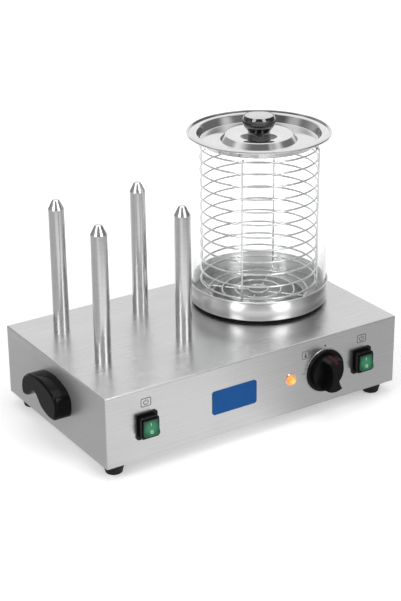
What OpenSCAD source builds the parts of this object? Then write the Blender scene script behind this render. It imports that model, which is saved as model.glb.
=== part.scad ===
// Electric hot dog steamer: a low steel casing with four heated bun spikes on the
// left and a glass steaming cylinder with a wire basket and a lid on the right.
// The origin is the bottom centre of the whole machine, with +Z up and the front
// panel facing -Y. Every piece is laid out from the casing's front left bottom
// corner and then moved to that origin by at_origin().

/* [Casing] */
// Width of the casing, left to right
casing_w = 500; // [470:1:600]
// Depth of the casing, front to rear
casing_d = 294; // [284:1:360]
// Height of the casing without its feet
casing_h = 107; // [102:1:140]
// Thickness of the casing's sheet steel
sheet_t = 1; // [0.8:0.1:1.4]
// Outside radius of the folded edges
fold_r = 2.4; // [1.8:0.1:4]
// Width of the flange that turns in round the bottom
flange_w = 13; // [11:0.5:16]

/* [Feet] */
// Height of the feet, from the floor to the casing
foot_h = 20; // [16:0.5:32]
// Radius of a foot where it meets the bottom plate
foot_top_r = 15.5; // [13:0.5:18]
// Radius of a foot on the floor
foot_low_r = 12; // [9:0.5:13]
// Distance of each foot's centre from both sides of its corner
foot_inset = 24; // [20:0.5:40]

/* [Bun spikes] */
// Radius of a spike
spike_r = 12; // [10:0.5:14]
// Height of a spike above the casing
spike_h = 202; // [150:1:240]
// Distance of the left row of spikes from the left side
spike_left = 63; // [50:1:80]
// Distance of the rear row of spikes from the rear
spike_rear = 56; // [45:1:80]
// Clear distance between the right row of spikes and the glass
spike_glass_gap = 57.5; // [45:0.5:70]
// Distance between the two rows, front to rear
spike_pitch_y = 123.5; // [80:0.5:150]

/* [Steam tower] */
// Distance of the tower's axis from the right side
tower_right = 129; // [116:1:150]
// Distance of the tower's axis from the rear
tower_rear = 119; // [110:1:130]
// Outside radius of the glass cylinder
glass_r = 103.5; // [101:0.5:106]
// Wall thickness of the glass
glass_t = 3.5; // [2.5:0.1:4]
// Height of the glass
glass_h = 255; // [240:1:300]
// Height of the collar round the foot of the glass
collar_h = 28.5; // [20:0.5:40]
// Thickness of the rubber gasket under the collar
gasket_h = 6.5; // [3:0.5:10]
// Outside radius of the water bowl
bowl_r = 70; // [60:0.5:72]
// Depth of the water bowl below its rim
bowl_depth = 48; // [35:1:52]

/* [Wire basket] */
// Outside radius of the basket's rings
basket_r = 89; // [84:0.5:91]
// Radius of the basket's wire
wire_r = 1.5; // [1.2:0.1:1.8]
// Number of rings below the top ring
ring_count = 11; // [6:1:12]
// Distance between the rings
ring_pitch = 19.4; // [15:0.1:19.8]
// Height of the top ring's middle above the basket's foot
basket_h = 235.7; // [230:0.1:239]

/* [Lid] */
// Thickness of the lid's sheet
lid_t = 1; // [0.8:0.1:1.5]
// Depth of the lid's dished floor below its rim
dish_depth = 13.2; // [8:0.1:15]
// Height of the raised middle above the dished floor
hill_h = 9.5; // [5:0.1:14]
// Height of the lid's knob
lid_knob_h = 28; // [22:0.5:40]
// Radius of the lid's knob at its top
lid_knob_r = 24; // [18:0.5:28]

/* [Front panel] */
// Distance of each switch's middle from its side of the casing
switch_inset = 64; // [45:1:75]
// Height of the switches' middle
switch_z = 51.5; // [45:0.5:60]
// Distance of the thermostat knob's axis from the right side
knob_inset = 131; // [120:1:150]
// Height of the thermostat knob's axis
knob_z = 52; // [45:0.5:60]
// Radius of the thermostat knob's skirt
knob_r = 33; // [26:0.5:35]
// How far the thermostat knob stands out of the panel
knob_out = 28; // [22:0.5:36]
// Distance of the lamp's middle from the right side
lamp_inset = 192.5; // [185:0.5:210]
// Height of the lamp's middle
lamp_z = 53; // [40:0.5:65]
// Radius of the lamp's dome
lamp_r = 8; // [5:0.5:10]
// Distance of the badge's left edge from the left side
badge_left = 172; // [120:1:190]
// Width of the badge
badge_w = 75; // [50:1:80]
// Height of the badge
badge_h = 36.5; // [20:0.5:45]
// Height of the badge's middle
badge_z = 52.2; // [45:0.1:60]

/* [Side handles] */
// Length of a handle, front to rear
handle_l = 103; // [90:1:130]
// Height of a handle
handle_h = 46.5; // [40:0.5:60]
// How far a handle stands out of the side
handle_out = 25; // [18:0.5:34]
// Distance of a handle's front end from the casing's front
handle_front = 97; // [70:1:120]
// Height of a handle's lowest point
handle_z = 39; // [25:0.5:42]

/* [Cable gland] */
// Radius of the gland's body
gland_r = 12; // [9:0.5:13]
// How far the gland stands out of the rear
gland_out = 22; // [16:0.5:34]
// Radius of the hole that the mains lead passes through
gland_bore_r = 4; // [3:0.1:5]
// Distance of the gland's axis from the left side
gland_left = 20; // [18:0.5:40]
// Height of the gland's axis
gland_z = 87; // [60:0.5:88]

/* [Hidden] */

$fn = 96;
arc_steps = 6;
cut = 1;              // overrun of every cut past the face that it opens
seat_gap = 0.3;       // play between loose pieces that stand on each other
slip_gap = 0.2;       // play of a screw or a plug in its hole
fit_gap = 0.08;       // radial play of a turning fit
nut_gap = 0.05;       // radial play between a screw and its nut

// Screws and nuts
screw_r = 2;
screw_head_r = 3.8;
screw_head_h = 2.4;
nut_r = 4;
nut_h = 3.2;
tray_screw_r = 1.5;
tray_head_r = 2.8;
tray_head_h = 1.8;

// Bottom plate
plate_inset = 3;
vent_w = 3;
vent_l = 40;
vent_pitch = 9;
vent_count = 9;

// Tower, from the casing's top upwards
tower_x = casing_w - tower_right;
tower_y = casing_d - tower_rear;
collar_t = 1.2;
collar_roll_r = 1.25;
collar_gap = 1;       // room between the glass and the collar
collar_r = glass_r + collar_gap + 2 * collar_roll_r;
collar_wall_r = glass_r + collar_gap + collar_t + slip_gap;
collar_bend_r = 3;
pan_t = 1;
pan_bend_r = 8;
pan_rim_r = collar_wall_r - collar_t / 2 - collar_bend_r - slip_gap;
gasket_out_r = glass_r - glass_t;
gasket_in_r = bowl_r + cut;
collar_z = casing_h + gasket_h;
pan_z = collar_z + collar_t;
glass_z = pan_z + pan_t + seat_gap;
glass_top = glass_z + glass_h;
bowl_z = pan_z + pan_t - bowl_depth;
tray_screw_ring = glass_r - glass_t - tray_head_r - cut;

// Basket, from its foot upwards
basket_foot = pan_z + pan_t + seat_gap;
ring_mid_r = basket_r - wire_r;
upright_r = ring_mid_r + 2 * wire_r;
upright_first_turn = 40;
upright_count = 4;
upright_bend_r = 8 * wire_r;
floor_wire_z = basket_foot + wire_r;
top_ring_z = basket_foot + basket_h;
last_ring_z = top_ring_z - 0.9 * ring_pitch;
hook_turn = 150;
hub_r = 9 * wire_r;
floor_ring_count = 4;

// Lid, from its rim inwards
lid_z = glass_top + seat_gap;
lid_lip_h = 2.2;
lid_r = glass_r + lid_t + 1.5 * collar_gap;
dish_top_r = glass_r - glass_t - 2 * collar_gap;
dish_low_r = dish_top_r - 0.45 * dish_depth;
hill_low_r = 0.55 * glass_r;
hill_top_r = hill_low_r - 0.7 * hill_h;
lid_bend_r = 2;
plateau_z = lid_z + lid_t - dish_depth + hill_h;
lid_knob_base_r = 0.88 * lid_knob_r;
lid_knob_waist_r = 0.64 * lid_knob_r;
lid_cap_r = 0.9 * lid_knob_r;
lid_cap_t = 1.2;

// Switches
switch_flange_w = 34;
switch_flange_h = 39;
switch_flange_t = 2.2;
switch_corner_r = 3.5;
switch_mid_w = 28;
switch_mid_h = 31;
switch_mid_out = 11;
switch_top_out = 13.5;
switch_wall = 1.2;
rocker_w = 22.5;
rocker_arm = 11.4;
rocker_pivot_out = 10.5;
rocker_end_out = 4;
rocker_valley_out = 2.6;
rocker_deep = 3.2;
rocker_throw = 9;
rocker_pin_r = 1.5;
rocker_pin_l = 1.4;
rocker_r = norm([rocker_arm, rocker_end_out]);
switch_open_w = rocker_w + 2 * seat_gap;
switch_open_h = 2 * (rocker_r + seat_gap);
switch_top_w = switch_open_w + 2 * switch_wall;
switch_top_h = switch_open_h + 2 * switch_wall;
switch_body_in = 17;
terminal_w = 6.3;
terminal_t = 0.8;
terminal_l = 9;

// Thermostat and its knob
shaft_r = 3;
shaft_hole_r = 5;
knob_floor = 1.2;
knob_skirt_t = 4;
knob_body_r = 0.82 * knob_r;
knob_scoop_r = 1.15 * knob_r;
knob_waist = 0.15 * knob_r;
knob_scoop_floor = 0.42 * knob_out;
knob_edge_r = 1.6;
bezel_t = 0.9;
bezel_show = 1.5;
bezel_r = knob_r + bezel_show;
thermostat_r = 19;
thermostat_deep = 27;
thermostat_plate_w = 44;
thermostat_plate_h = 26;
thermostat_plate_t = 1.5;
thermostat_screw_span = 34;

// Lamp
lamp_rim_t = 1.2;
lamp_rim_r = lamp_r + lamp_rim_t;
lamp_dome_out = 0.85 * lamp_r;
lamp_barrel_r = 0.72 * lamp_r;
lamp_deep = 22;
lamp_nut_h = 3;

badge_t = 1;
badge_corner_r = 4;

// Spikes
spike_stub_r = 8;
spike_stub_l = 12;
spike_cone_h = 14;
spike_nose_r = 5;
spike_nut_r = 13;
spike_nut_h = 5;
heater_r = 5;
heater_tail = 9;

// Heating
heat_plate_r = bowl_r - pan_bend_r - 4 * pan_t;
heat_plate_t = 7;
element_r = 4;
element_ring_r = 0.66 * heat_plate_r;
element_leg_l = 24;
element_leg_turn = 13;
stud_r = 4;
clamp_t = 2;
clamp_r = element_ring_r + 2 * element_r;
clamp_nut_r = 7.5;
clamp_nut_h = 6;
cutout_r = 8;
cutout_h = 7;

// Handles
handle_edge_r = 3.6;
insert_r = 4.6;
insert_l = 11;
handle_screw_in = 9;
insert_x_shares = [0.24, 0.82];
insert_y_shares = [0.5, 0.55];

// The handle's outline as shares of its length and height: a humped back, a blunt
// rear lobe, a finger notch and a full front lobe
handle_shares = [
    [0, 0.41], [0.02, 0.62], [0.10, 0.81], [0.27, 0.95], [0.51, 1], [0.76, 0.94],
    [0.90, 0.80], [0.97, 0.60], [1, 0.33], [0.975, 0.14], [0.90, 0.10], [0.78, 0.19],
    [0.68, 0.34], [0.60, 0.45], [0.53, 0.44], [0.46, 0.31], [0.36, 0.13], [0.24, 0.03],
    [0.13, 0], [0.04, 0.14]
];
spline_steps = 3;
edge_steps = 3;

// Gland and terminal block
gland_flange_t = 4;
gland_neck_r = 0.72 * gland_r;
gland_nut_t = 4;
gland_nut_r = 1.1 * gland_r;
block_w = 46;
block_d = 20;
block_h = 18;
block_ways = 3;

// Unit vector along v
function unit(v) = v / norm(v);

// A corner b between a and c, rounded to radius r as a row of points
function fillet(a, b, c, r) =
    let (
        u = unit(a - b),
        v = unit(c - b),
        half = acos(u * v) / 2,
        middle = b + unit(u + v) * r / sin(half),
        p = b + u * r / tan(half),
        start = atan2(p[1] - middle[1], p[0] - middle[0]),
        sweep = (180 - 2 * half) * (u[0] * v[1] - u[1] * v[0] > 0 ? -1 : 1)
    )
    [for (i = [0 : arc_steps]) middle + r * [
        cos(start + sweep * i / arc_steps),
        sin(start + sweep * i / arc_steps)
    ]];

// An open path whose inner corners are rounded to radius r
function rounded_path(p, r) =
    concat(
        [p[0]],
        [for (i = [1 : len(p) - 2]) each fillet(p[i - 1], p[i], p[i + 1], r)],
        [p[len(p) - 1]]
    );

// A point of the path moved sideways by d, square to the path
function beside(p, i, d) =
    let (
        before = unit(p[max(i, 1)] - p[max(i, 1) - 1]),
        after = unit(p[min(i, len(p) - 2) + 1] - p[min(i, len(p) - 2)]),
        n1 = [-before[1], before[0]],
        n2 = [-after[1], after[0]],
        n = unit(n1 + n2)
    )
    p[i] + n * d / (n * n1);

// The closed outline of a sheet of thickness t whose middle follows the path
function sheet_outline(p, t) =
    concat(
        [for (i = [0 : len(p) - 1]) beside(p, i, t / 2)],
        [for (i = [len(p) - 1 : -1 : 0]) beside(p, i, -t / 2)]
    );

// A point between p[i] and p[i + 1] of a closed smooth curve through all points
function spline_point(p, i, u) =
    let (
        n = len(p),
        a = p[(i + n - 1) % n],
        b = p[i],
        c = p[(i + 1) % n],
        d = p[(i + 2) % n]
    )
    0.5 * (2 * b + (c - a) * u + (2 * a - 5 * b + 4 * c - d) * u * u
        + (3 * b - a - 3 * c + d) * u * u * u);

// Everything is laid out from the casing's corner and moved to the origin here
module at_origin() {
    translate([-casing_w / 2, -(casing_d + gland_out - knob_out) / 2, foot_h]) children();
}

// Children stand on the front panel, facing out of it
module on_front(x, z) {
    translate([x, 0, z]) rotate([90, 0, 0]) children();
}

// Children stand on the rear panel, facing out of it
module on_rear(x, z) {
    translate([x, casing_d, z]) rotate([-90, 0, 0]) children();
}

module at_tower() {
    translate([tower_x, tower_y, 0]) children();
}

// A rectangle from its lower left corner, with corners of radius r
module soft_rect(w, h, r) {
    translate([r, 0]) square([w - 2 * r, h]);
    translate([0, r]) square([w, h - 2 * r]);
    for (x = [r, w - r], y = [r, h - r]) {
        translate([x, y]) circle(r);
    }
}

module soft_rect_centred(w, h, r) {
    translate([-w / 2, -h / 2]) soft_rect(w, h, r);
}

// A rectangle whose two upper corners are round
module arched_rect(w, h, r) {
    square([w, h - r]);
    translate([r, 0]) square([w - 2 * r, h]);
    for (x = [r, w - r]) {
        translate([x, h - r]) circle(r);
    }
}

// A block whose upright and upper edges are round, as a folded box has them
module folded_block(w, d, h, r) {
    intersection() {
        linear_extrude(h) soft_rect(w, d, r);
        translate([0, d, 0]) rotate([90, 0, 0]) linear_extrude(d) arched_rect(w, h, r);
        rotate([90, 0, 90]) linear_extrude(w) arched_rect(d, h, r);
    }
}

// A ring of round wire lying flat
module wire_ring(r, wire) {
    rotate_extrude() translate([r, 0]) circle(wire, $fn = 24);
}

// A screw whose head rests on z = 0 from below and whose shank points up
module pan_screw(r, l, head_r, head_h) {
    difference() {
        union() {
            cylinder(r = r, h = l);
            translate([0, 0, -head_h / 2]) cylinder(r = head_r, h = head_h / 2);
            translate([0, 0, -head_h]) cylinder(r1 = 0.75 * head_r, r2 = head_r, h = head_h / 2);
        }
        for (turn = [0, 90]) {
            rotate([0, 0, turn]) translate([-head_r / 2, -head_r / 8, -head_h - cut])
                cube([head_r, head_r / 4, cut + head_h / 2]);
        }
    }
}

// A hexagon nut that stands on z = 0 round a screw of radius r
module hex_nut(r, nut, h) {
    difference() {
        cylinder(r = nut, h = h, $fn = 6);
        translate([0, 0, -cut]) cylinder(r = r + nut_gap, h = h + 2 * cut);
    }
}

function foot_places() = [
    for (x = [foot_inset, casing_w - foot_inset], y = [foot_inset, casing_d - foot_inset]) [x, y]
];

// Bottom plate screws: along the front, the rear and the two sides
function bottom_screw_places() = [
    for (x = [0.25, 0.5, 0.75], y = [flange_w / 2, casing_d - flange_w / 2]) [x * casing_w, y],
    for (x = [flange_w / 2, casing_w - flange_w / 2]) [x, casing_d / 2]
];

function spike_place(column, row) = [
    column == 0 ? spike_left : tower_x - glass_r - spike_glass_gap - spike_r,
    casing_d - spike_rear - (1 - row) * spike_pitch_y
];

function handle_screw_places() = [
    for (i = [0, 1]) [
        handle_front + insert_x_shares[i] * handle_l,
        handle_z + insert_y_shares[i] * handle_h
    ]
];

module tray_screw_layout() {
    for (turn = [0 : 90 : 270]) {
        at_tower() rotate([0, 0, turn]) translate([tray_screw_ring, 0, 0]) children();
    }
}

// Casing: one folded sheet, open below, with a flange that turns in
module casing() {
    color("lightgray") at_origin() difference() {
        union() {
            difference() {
                folded_block(casing_w, casing_d, casing_h, fold_r);
                translate([sheet_t, sheet_t, -cut]) folded_block(
                    casing_w - 2 * sheet_t, casing_d - 2 * sheet_t,
                    casing_h - sheet_t + cut, fold_r - sheet_t
                );
            }
            linear_extrude(sheet_t) difference() {
                soft_rect(casing_w, casing_d, fold_r);
                translate([flange_w, flange_w])
                    square([casing_w - 2 * flange_w, casing_d - 2 * flange_w]);
            }
        }
        top_holes();
        front_holes();
        side_holes();
        on_rear(gland_left, gland_z) translate([0, 0, -sheet_t - cut])
            cylinder(r = gland_neck_r + slip_gap, h = sheet_t + 2 * cut);
        for (p = bottom_screw_places()) {
            translate([p[0], p[1], -cut]) cylinder(r = tray_screw_r, h = sheet_t + 2 * cut);
        }
    }
}

module top_holes() {
    translate([0, 0, casing_h - sheet_t - cut]) {
        at_tower() cylinder(r = bowl_r + cut, h = sheet_t + 2 * cut);
        tray_screw_layout() cylinder(r = tray_screw_r + slip_gap, h = sheet_t + 2 * cut);
        for (column = [0, 1], row = [0, 1]) {
            translate(spike_place(column, row))
                cylinder(r = spike_stub_r + slip_gap, h = sheet_t + 2 * cut);
        }
    }
}

module front_holes() {
    for (x = [switch_inset, casing_w - switch_inset]) {
        on_front(x, switch_z) translate([0, 0, -sheet_t - cut])
            linear_extrude(sheet_t + 2 * cut)
            soft_rect_centred(switch_mid_w + slip_gap, switch_mid_h + slip_gap, cut);
    }
    on_front(casing_w - knob_inset, knob_z) translate([0, 0, -sheet_t - cut]) {
        cylinder(r = shaft_hole_r, h = sheet_t + 2 * cut);
        for (side = [-1, 1]) {
            translate([side * thermostat_screw_span / 2, 0, 0])
                cylinder(r = tray_screw_r + slip_gap, h = sheet_t + 2 * cut);
        }
    }
    on_front(casing_w - lamp_inset, lamp_z) translate([0, 0, -sheet_t - cut])
        cylinder(r = lamp_barrel_r + slip_gap, h = sheet_t + 2 * cut);
}

module side_holes() {
    for (p = handle_screw_places(), x = [0, casing_w - sheet_t]) {
        translate([x - cut, p[0], p[1]]) rotate([0, 90, 0])
            cylinder(r = screw_r + slip_gap, h = sheet_t + 2 * cut);
    }
}

// Bottom plate, screwed to the flange from below, with rows of vent slots
module bottom_plate() {
    color("silver") at_origin() translate([0, 0, -sheet_t]) linear_extrude(sheet_t)
        difference() {
            translate([plate_inset, plate_inset])
                soft_rect(casing_w - 2 * plate_inset, casing_d - 2 * plate_inset, fold_r);
            for (p = foot_places()) {
                translate(p) circle(screw_r + slip_gap);
            }
            for (p = bottom_screw_places()) {
                translate(p) circle(tray_screw_r + slip_gap);
            }
            for (x = [0.28 * casing_w, 0.74 * casing_w], i = [0 : vent_count - 1]) {
                translate([x + (i - (vent_count - 1) / 2) * vent_pitch, casing_d / 2])
                    soft_rect_centred(vent_w, vent_l, 0.45 * vent_w);
            }
        }
}

module bottom_screws() {
    color("gray") at_origin() for (p = bottom_screw_places()) {
        translate([p[0], p[1], -sheet_t])
            pan_screw(tray_screw_r - nut_gap, 4 * sheet_t, tray_head_r, tray_head_h);
    }
}

// A tapered rubber foot, hollow for the head of its screw
module foot(i) {
    height = foot_h - sheet_t;
    web = 0.25 * height;
    color([0.08, 0.08, 0.08]) at_origin()
        translate([foot_places()[i][0], foot_places()[i][1], -foot_h]) difference() {
            rotate_extrude() polygon(concat(
                [[0, 0]],
                rounded_path([
                    [0, 0], [foot_low_r, 0], [foot_top_r, 0.8 * height], [foot_top_r, height]
                ], 0.12 * foot_low_r),
                [[0, height]]
            ));
            translate([0, 0, -cut]) cylinder(r = 1.5 * screw_head_r, h = height - web + cut);
            cylinder(r = screw_r + slip_gap, h = height + cut);
        }
}

module foot_front_left() { foot(0); }
module foot_rear_left() { foot(1); }
module foot_front_right() { foot(2); }
module foot_rear_right() { foot(3); }

module foot_screws() {
    web = 0.25 * (foot_h - sheet_t);
    color("gray") at_origin() for (p = foot_places()) {
        translate([p[0], p[1], -sheet_t - web])
            pan_screw(screw_r, web + sheet_t + 1.5 * nut_h, screw_head_r, screw_head_h);
        translate([p[0], p[1], 0]) hex_nut(screw_r, nut_r, nut_h);
    }
}

// The handle's outline drawn in by d on every side
function handle_outline(d) =
    let (
        p = [for (s = handle_shares) [s[0] * handle_l, s[1] * handle_h]],
        c = [for (i = [0 : len(p) - 1], k = [0 : spline_steps - 1])
            spline_point(p, i, k / spline_steps)],
        n = len(c)
    )
    [for (i = [0 : n - 1])
        let (
            before = unit(c[i] - c[(i + n - 1) % n]),
            after = unit(c[(i + 1) % n] - c[i]),
            n1 = [before[1], -before[0]],
            inward = unit(n1 + [after[1], -after[0]])
        )
        c[i] + inward * d / (inward * n1)
    ];

// The moulded grip with its rounded outer edge, from its flat back on z = 0. Each layer
// is the outline drawn in by its first number and moved out by its second.
module handle_grip() {
    layers = concat(
        [[0, 0]],
        [for (k = [0 : edge_steps]) [
            handle_edge_r * (1 - cos(90 * k / edge_steps)),
            handle_out - handle_edge_r + handle_edge_r * sin(90 * k / edge_steps)
        ]]
    );
    n = len(handle_shares) * spline_steps;
    polyhedron(
        points = [for (l = layers) each [for (p = handle_outline(l[0])) [p[0], p[1], l[1]]]],
        faces = concat(
            [[for (i = [n - 1 : -1 : 0]) i]],
            [for (k = [0 : len(layers) - 2], i = [0 : n - 1]) [
                k * n + i, k * n + (i + 1) % n, (k + 1) * n + (i + 1) % n, (k + 1) * n + i
            ]],
            [[for (i = [0 : n - 1]) (len(layers) - 1) * n + i]]
        )
    );
}

// The grip with a hexagon pocket in its back for each insert
module handle() {
    difference() {
        handle_grip();
        for (i = [0, 1]) {
            translate([insert_x_shares[i] * handle_l, insert_y_shares[i] * handle_h, -cut])
                cylinder(r = insert_r + nut_gap, h = insert_l + cut, $fn = 6);
        }
    }
}

module handle_right() {
    color([0.1, 0.1, 0.1]) at_origin() translate([casing_w, handle_front, handle_z])
        rotate([90, 0, 90]) handle();
}

module handle_left() {
    color([0.1, 0.1, 0.1]) at_origin() translate([0, handle_front, handle_z])
        mirror([1, 0, 0]) rotate([90, 0, 90]) handle();
}

// Hexagon inserts in the backs of the handles, which take the screws
module handle_inserts() {
    color("gold") at_origin() for (p = handle_screw_places(), x = [-insert_l, casing_w]) {
        translate([x, p[0], p[1]]) rotate([90, 0, 90])
            hex_nut(screw_r, insert_r, insert_l);
    }
}

module handle_screws() {
    color("gray") at_origin() for (p = handle_screw_places()) {
        translate([sheet_t, p[0], p[1]]) rotate([0, -90, 0])
            pan_screw(screw_r - nut_gap, handle_screw_in, screw_head_r, screw_head_h);
        translate([casing_w - sheet_t, p[0], p[1]]) rotate([0, 90, 0])
            pan_screw(screw_r - nut_gap, handle_screw_in, screw_head_r, screw_head_h);
    }
}

// A stepped switch housing, open in front for its rocker
module switch_housing() {
    body_w = switch_mid_w - 2 * switch_wall;
    body_h = switch_mid_h - 2 * switch_wall;
    difference() {
        union() {
            translate([0, 0, -switch_body_in]) linear_extrude(switch_body_in + cut)
                soft_rect_centred(body_w, body_h, cut);
            linear_extrude(switch_flange_t)
                soft_rect_centred(switch_flange_w, switch_flange_h, switch_corner_r);
            linear_extrude(switch_mid_out)
                soft_rect_centred(switch_mid_w, switch_mid_h, 0.8 * switch_corner_r);
            linear_extrude(switch_top_out)
                soft_rect_centred(switch_top_w, switch_top_h, 0.7 * switch_corner_r);
        }
        translate([0, 0, switch_top_out + cut]) mirror([0, 0, 1])
            linear_extrude(switch_top_out + cut - rocker_pivot_out + rocker_r + slip_gap)
            soft_rect_centred(switch_open_w, switch_open_h, 2 * seat_gap);
        translate([-rocker_w / 2 - rocker_pin_l - 2 * seat_gap, 0, rocker_pivot_out])
            rotate([0, 90, 0])
            cylinder(r = rocker_pin_r + fit_gap, h = rocker_w + 2 * rocker_pin_l + 4 * seat_gap);
    }
}

module switch_housing_left() {
    color([0.1, 0.1, 0.1]) at_origin() on_front(switch_inset, switch_z) switch_housing();
}

module switch_housing_right() {
    color([0.1, 0.1, 0.1]) at_origin() on_front(casing_w - switch_inset, switch_z)
        switch_housing();
}

// A rocker tipped to its upper side about its pins, with a shallow valley across
module rocker() {
    translate([0, 0, rocker_pivot_out]) rotate([-rocker_throw, 0, 0]) {
        intersection() {
            translate([-rocker_w / 2, 0, 0]) rotate([0, 90, 0])
                cylinder(r = rocker_r, h = rocker_w);
            translate([-rocker_w / 2, 0, 0]) rotate([90, 0, 90]) linear_extrude(rocker_w)
                polygon([
                    [-rocker_arm, rocker_end_out], [0, rocker_valley_out],
                    [rocker_arm, rocker_end_out], [rocker_r, 0],
                    [rocker_arm, -rocker_deep], [-rocker_arm, -rocker_deep], [-rocker_r, 0]
                ]);
        }
        translate([-rocker_w / 2 - rocker_pin_l, 0, 0]) rotate([0, 90, 0])
            cylinder(r = rocker_pin_r, h = rocker_w + 2 * rocker_pin_l);
    }
}

module rocker_left() {
    color([0.17, 0.5, 0.33]) at_origin() on_front(switch_inset, switch_z) rocker();
}

module rocker_right() {
    color([0.17, 0.5, 0.33]) at_origin() on_front(casing_w - switch_inset, switch_z) rocker();
}

module switch_terminals() {
    color("gold") at_origin() for (x = [switch_inset, casing_w - switch_inset]) {
        on_front(x, switch_z) for (side = [-1, 1], row = [-1, 1]) {
            translate([
                side * switch_mid_w / 4 - terminal_w / 2,
                row * switch_mid_h / 4 - terminal_t / 2,
                -switch_body_in - terminal_l
            ]) cube([terminal_w, terminal_t, terminal_l]);
        }
    }
}

// Thermostat behind the panel: a plate on the panel and a round can
module thermostat_body() {
    color("gainsboro") at_origin() on_front(casing_w - knob_inset, knob_z) difference() {
        union() {
            translate([0, 0, -sheet_t - thermostat_plate_t]) linear_extrude(thermostat_plate_t)
                soft_rect_centred(thermostat_plate_w, thermostat_plate_h, screw_r);
            translate([0, 0, -sheet_t - thermostat_deep])
                cylinder(r = thermostat_plate_h / 2, h = thermostat_deep - thermostat_plate_t / 2);
            translate([0, 0, -sheet_t - thermostat_deep])
                cylinder(r = thermostat_r, h = 0.6 * thermostat_deep);
        }
        translate([0, 0, -sheet_t - thermostat_deep / 2 - seat_gap])
            cylinder(r = shaft_r + fit_gap, h = thermostat_deep);
        for (side = [-1, 1]) {
            translate([side * thermostat_screw_span / 2, 0, -sheet_t - thermostat_plate_t - cut])
                cylinder(r = tray_screw_r + nut_gap, h = thermostat_plate_t + 2 * cut);
        }
    }
}

module thermostat_screws() {
    color("gray") at_origin() on_front(casing_w - knob_inset, knob_z) for (side = [-1, 1]) {
        translate([side * thermostat_screw_span / 2, 0, 0]) rotate([180, 0, 0])
            pan_screw(tray_screw_r, 2 * (sheet_t + thermostat_plate_t), tray_head_r, bezel_t);
    }
}

module thermostat_shaft() {
    color("silver") at_origin() on_front(casing_w - knob_inset, knob_z)
        translate([0, 0, -sheet_t - thermostat_deep / 2])
        cylinder(r = shaft_r, h = sheet_t + thermostat_deep / 2 + 0.7 * knob_out);
}

// A thin bright ring on the panel round the foot of the knob
module knob_bezel() {
    color("silver") at_origin() on_front(casing_w - knob_inset, knob_z) difference() {
        cylinder(r = bezel_r, h = bezel_t);
        translate([0, 0, -cut])
            cylinder(r = bezel_r - 4 * bezel_t, h = bezel_t + 2 * cut);
    }
}

// Thermostat knob: a skirt, a round body and a bar left between two scooped sides
module thermostat_knob() {
    color([0.12, 0.12, 0.12]) at_origin() on_front(casing_w - knob_inset, knob_z) difference() {
        union() {
            rotate_extrude() polygon(concat(
                [[0, knob_floor]],
                rounded_path([
                    [0, knob_floor], [knob_r, knob_floor],
                    [0.97 * knob_r, knob_skirt_t], [knob_body_r, knob_skirt_t]
                ], 0.4 * knob_edge_r),
                [[0, knob_skirt_t]]
            ));
            rotate_extrude() polygon(concat(
                [[0, knob_floor]],
                rounded_path([
                    [knob_body_r, knob_floor], [0.93 * knob_body_r, knob_out], [0, knob_out]
                ], knob_edge_r)
            ));
        }
        for (side = [-1, 1]) {
            translate([side * (knob_scoop_r + knob_waist), 0, knob_scoop_floor])
                cylinder(r = knob_scoop_r, h = knob_out);
        }
        cylinder(r = shaft_r + nut_gap, h = 0.7 * knob_out + seat_gap);
        difference() {
            cylinder(r = 0.75 * knob_body_r, h = knob_skirt_t + knob_floor);
            cylinder(r = 2.2 * shaft_r, h = knob_out);
        }
    }
}

// Signal lamp: a dome on a bright rim
module lamp_lens() {
    color("orange") at_origin() on_front(casing_w - lamp_inset, lamp_z)
        translate([0, 0, lamp_rim_t]) rotate_extrude() intersection() {
            translate([0, lamp_dome_out - lamp_r]) circle(lamp_r);
            square([lamp_r, lamp_r]);
        }
}

module lamp_holder() {
    color("silver") at_origin() on_front(casing_w - lamp_inset, lamp_z) {
        cylinder(r = lamp_rim_r, h = lamp_rim_t);
        translate([0, 0, -lamp_deep]) cylinder(r = lamp_barrel_r, h = lamp_deep + lamp_rim_t / 2);
    }
}

module lamp_nut() {
    color("white") at_origin() on_front(casing_w - lamp_inset, lamp_z)
        translate([0, 0, -sheet_t - lamp_nut_h])
        hex_nut(lamp_barrel_r, 1.5 * lamp_barrel_r, lamp_nut_h);
}

module badge() {
    color([0.07, 0.32, 0.59]) at_origin()
        on_front(badge_left + badge_w / 2, badge_z) linear_extrude(badge_t)
        soft_rect_centred(badge_w, badge_h, badge_corner_r);
}

// A heated bun spike: a turned aluminium rod, drilled from below for its heater
module spike(column, row) {
    place = spike_place(column, row);
    shoulder = spike_h - spike_cone_h;
    color("silver") at_origin() translate([place[0], place[1], casing_h]) difference() {
        union() {
            translate([0, 0, -spike_stub_l]) cylinder(r = spike_stub_r, h = spike_stub_l + cut);
            cylinder(r = spike_r, h = shoulder);
            translate([0, 0, shoulder]) rotate_extrude() polygon(concat(
                [[0, 0]],
                rounded_path([
                    [spike_r, 0], [spike_nose_r, spike_cone_h], [0, spike_cone_h]
                ], 0.6 * spike_nose_r)
            ));
        }
        translate([0, 0, -spike_stub_l - cut])
            cylinder(r = heater_r + fit_gap, h = spike_stub_l + cut + shoulder - spike_r);
    }
}

module spike_front_left() { spike(0, 0); }
module spike_front_right() { spike(1, 0); }
module spike_rear_left() { spike(0, 1); }
module spike_rear_right() { spike(1, 1); }

module spike_nuts() {
    color("gray") at_origin() for (column = [0, 1], row = [0, 1]) {
        translate([0, 0, casing_h - sheet_t - spike_nut_h]) translate(spike_place(column, row))
            hex_nut(spike_stub_r, spike_nut_r, spike_nut_h);
    }
}

module spike_heaters() {
    length = spike_stub_l + spike_h - spike_cone_h - spike_r + heater_tail - seat_gap;
    color("dimgray") at_origin() for (column = [0, 1], row = [0, 1]) {
        translate([0, 0, casing_h - spike_stub_l - heater_tail])
            translate(spike_place(column, row)) cylinder(r = heater_r, h = length);
    }
}

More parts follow.
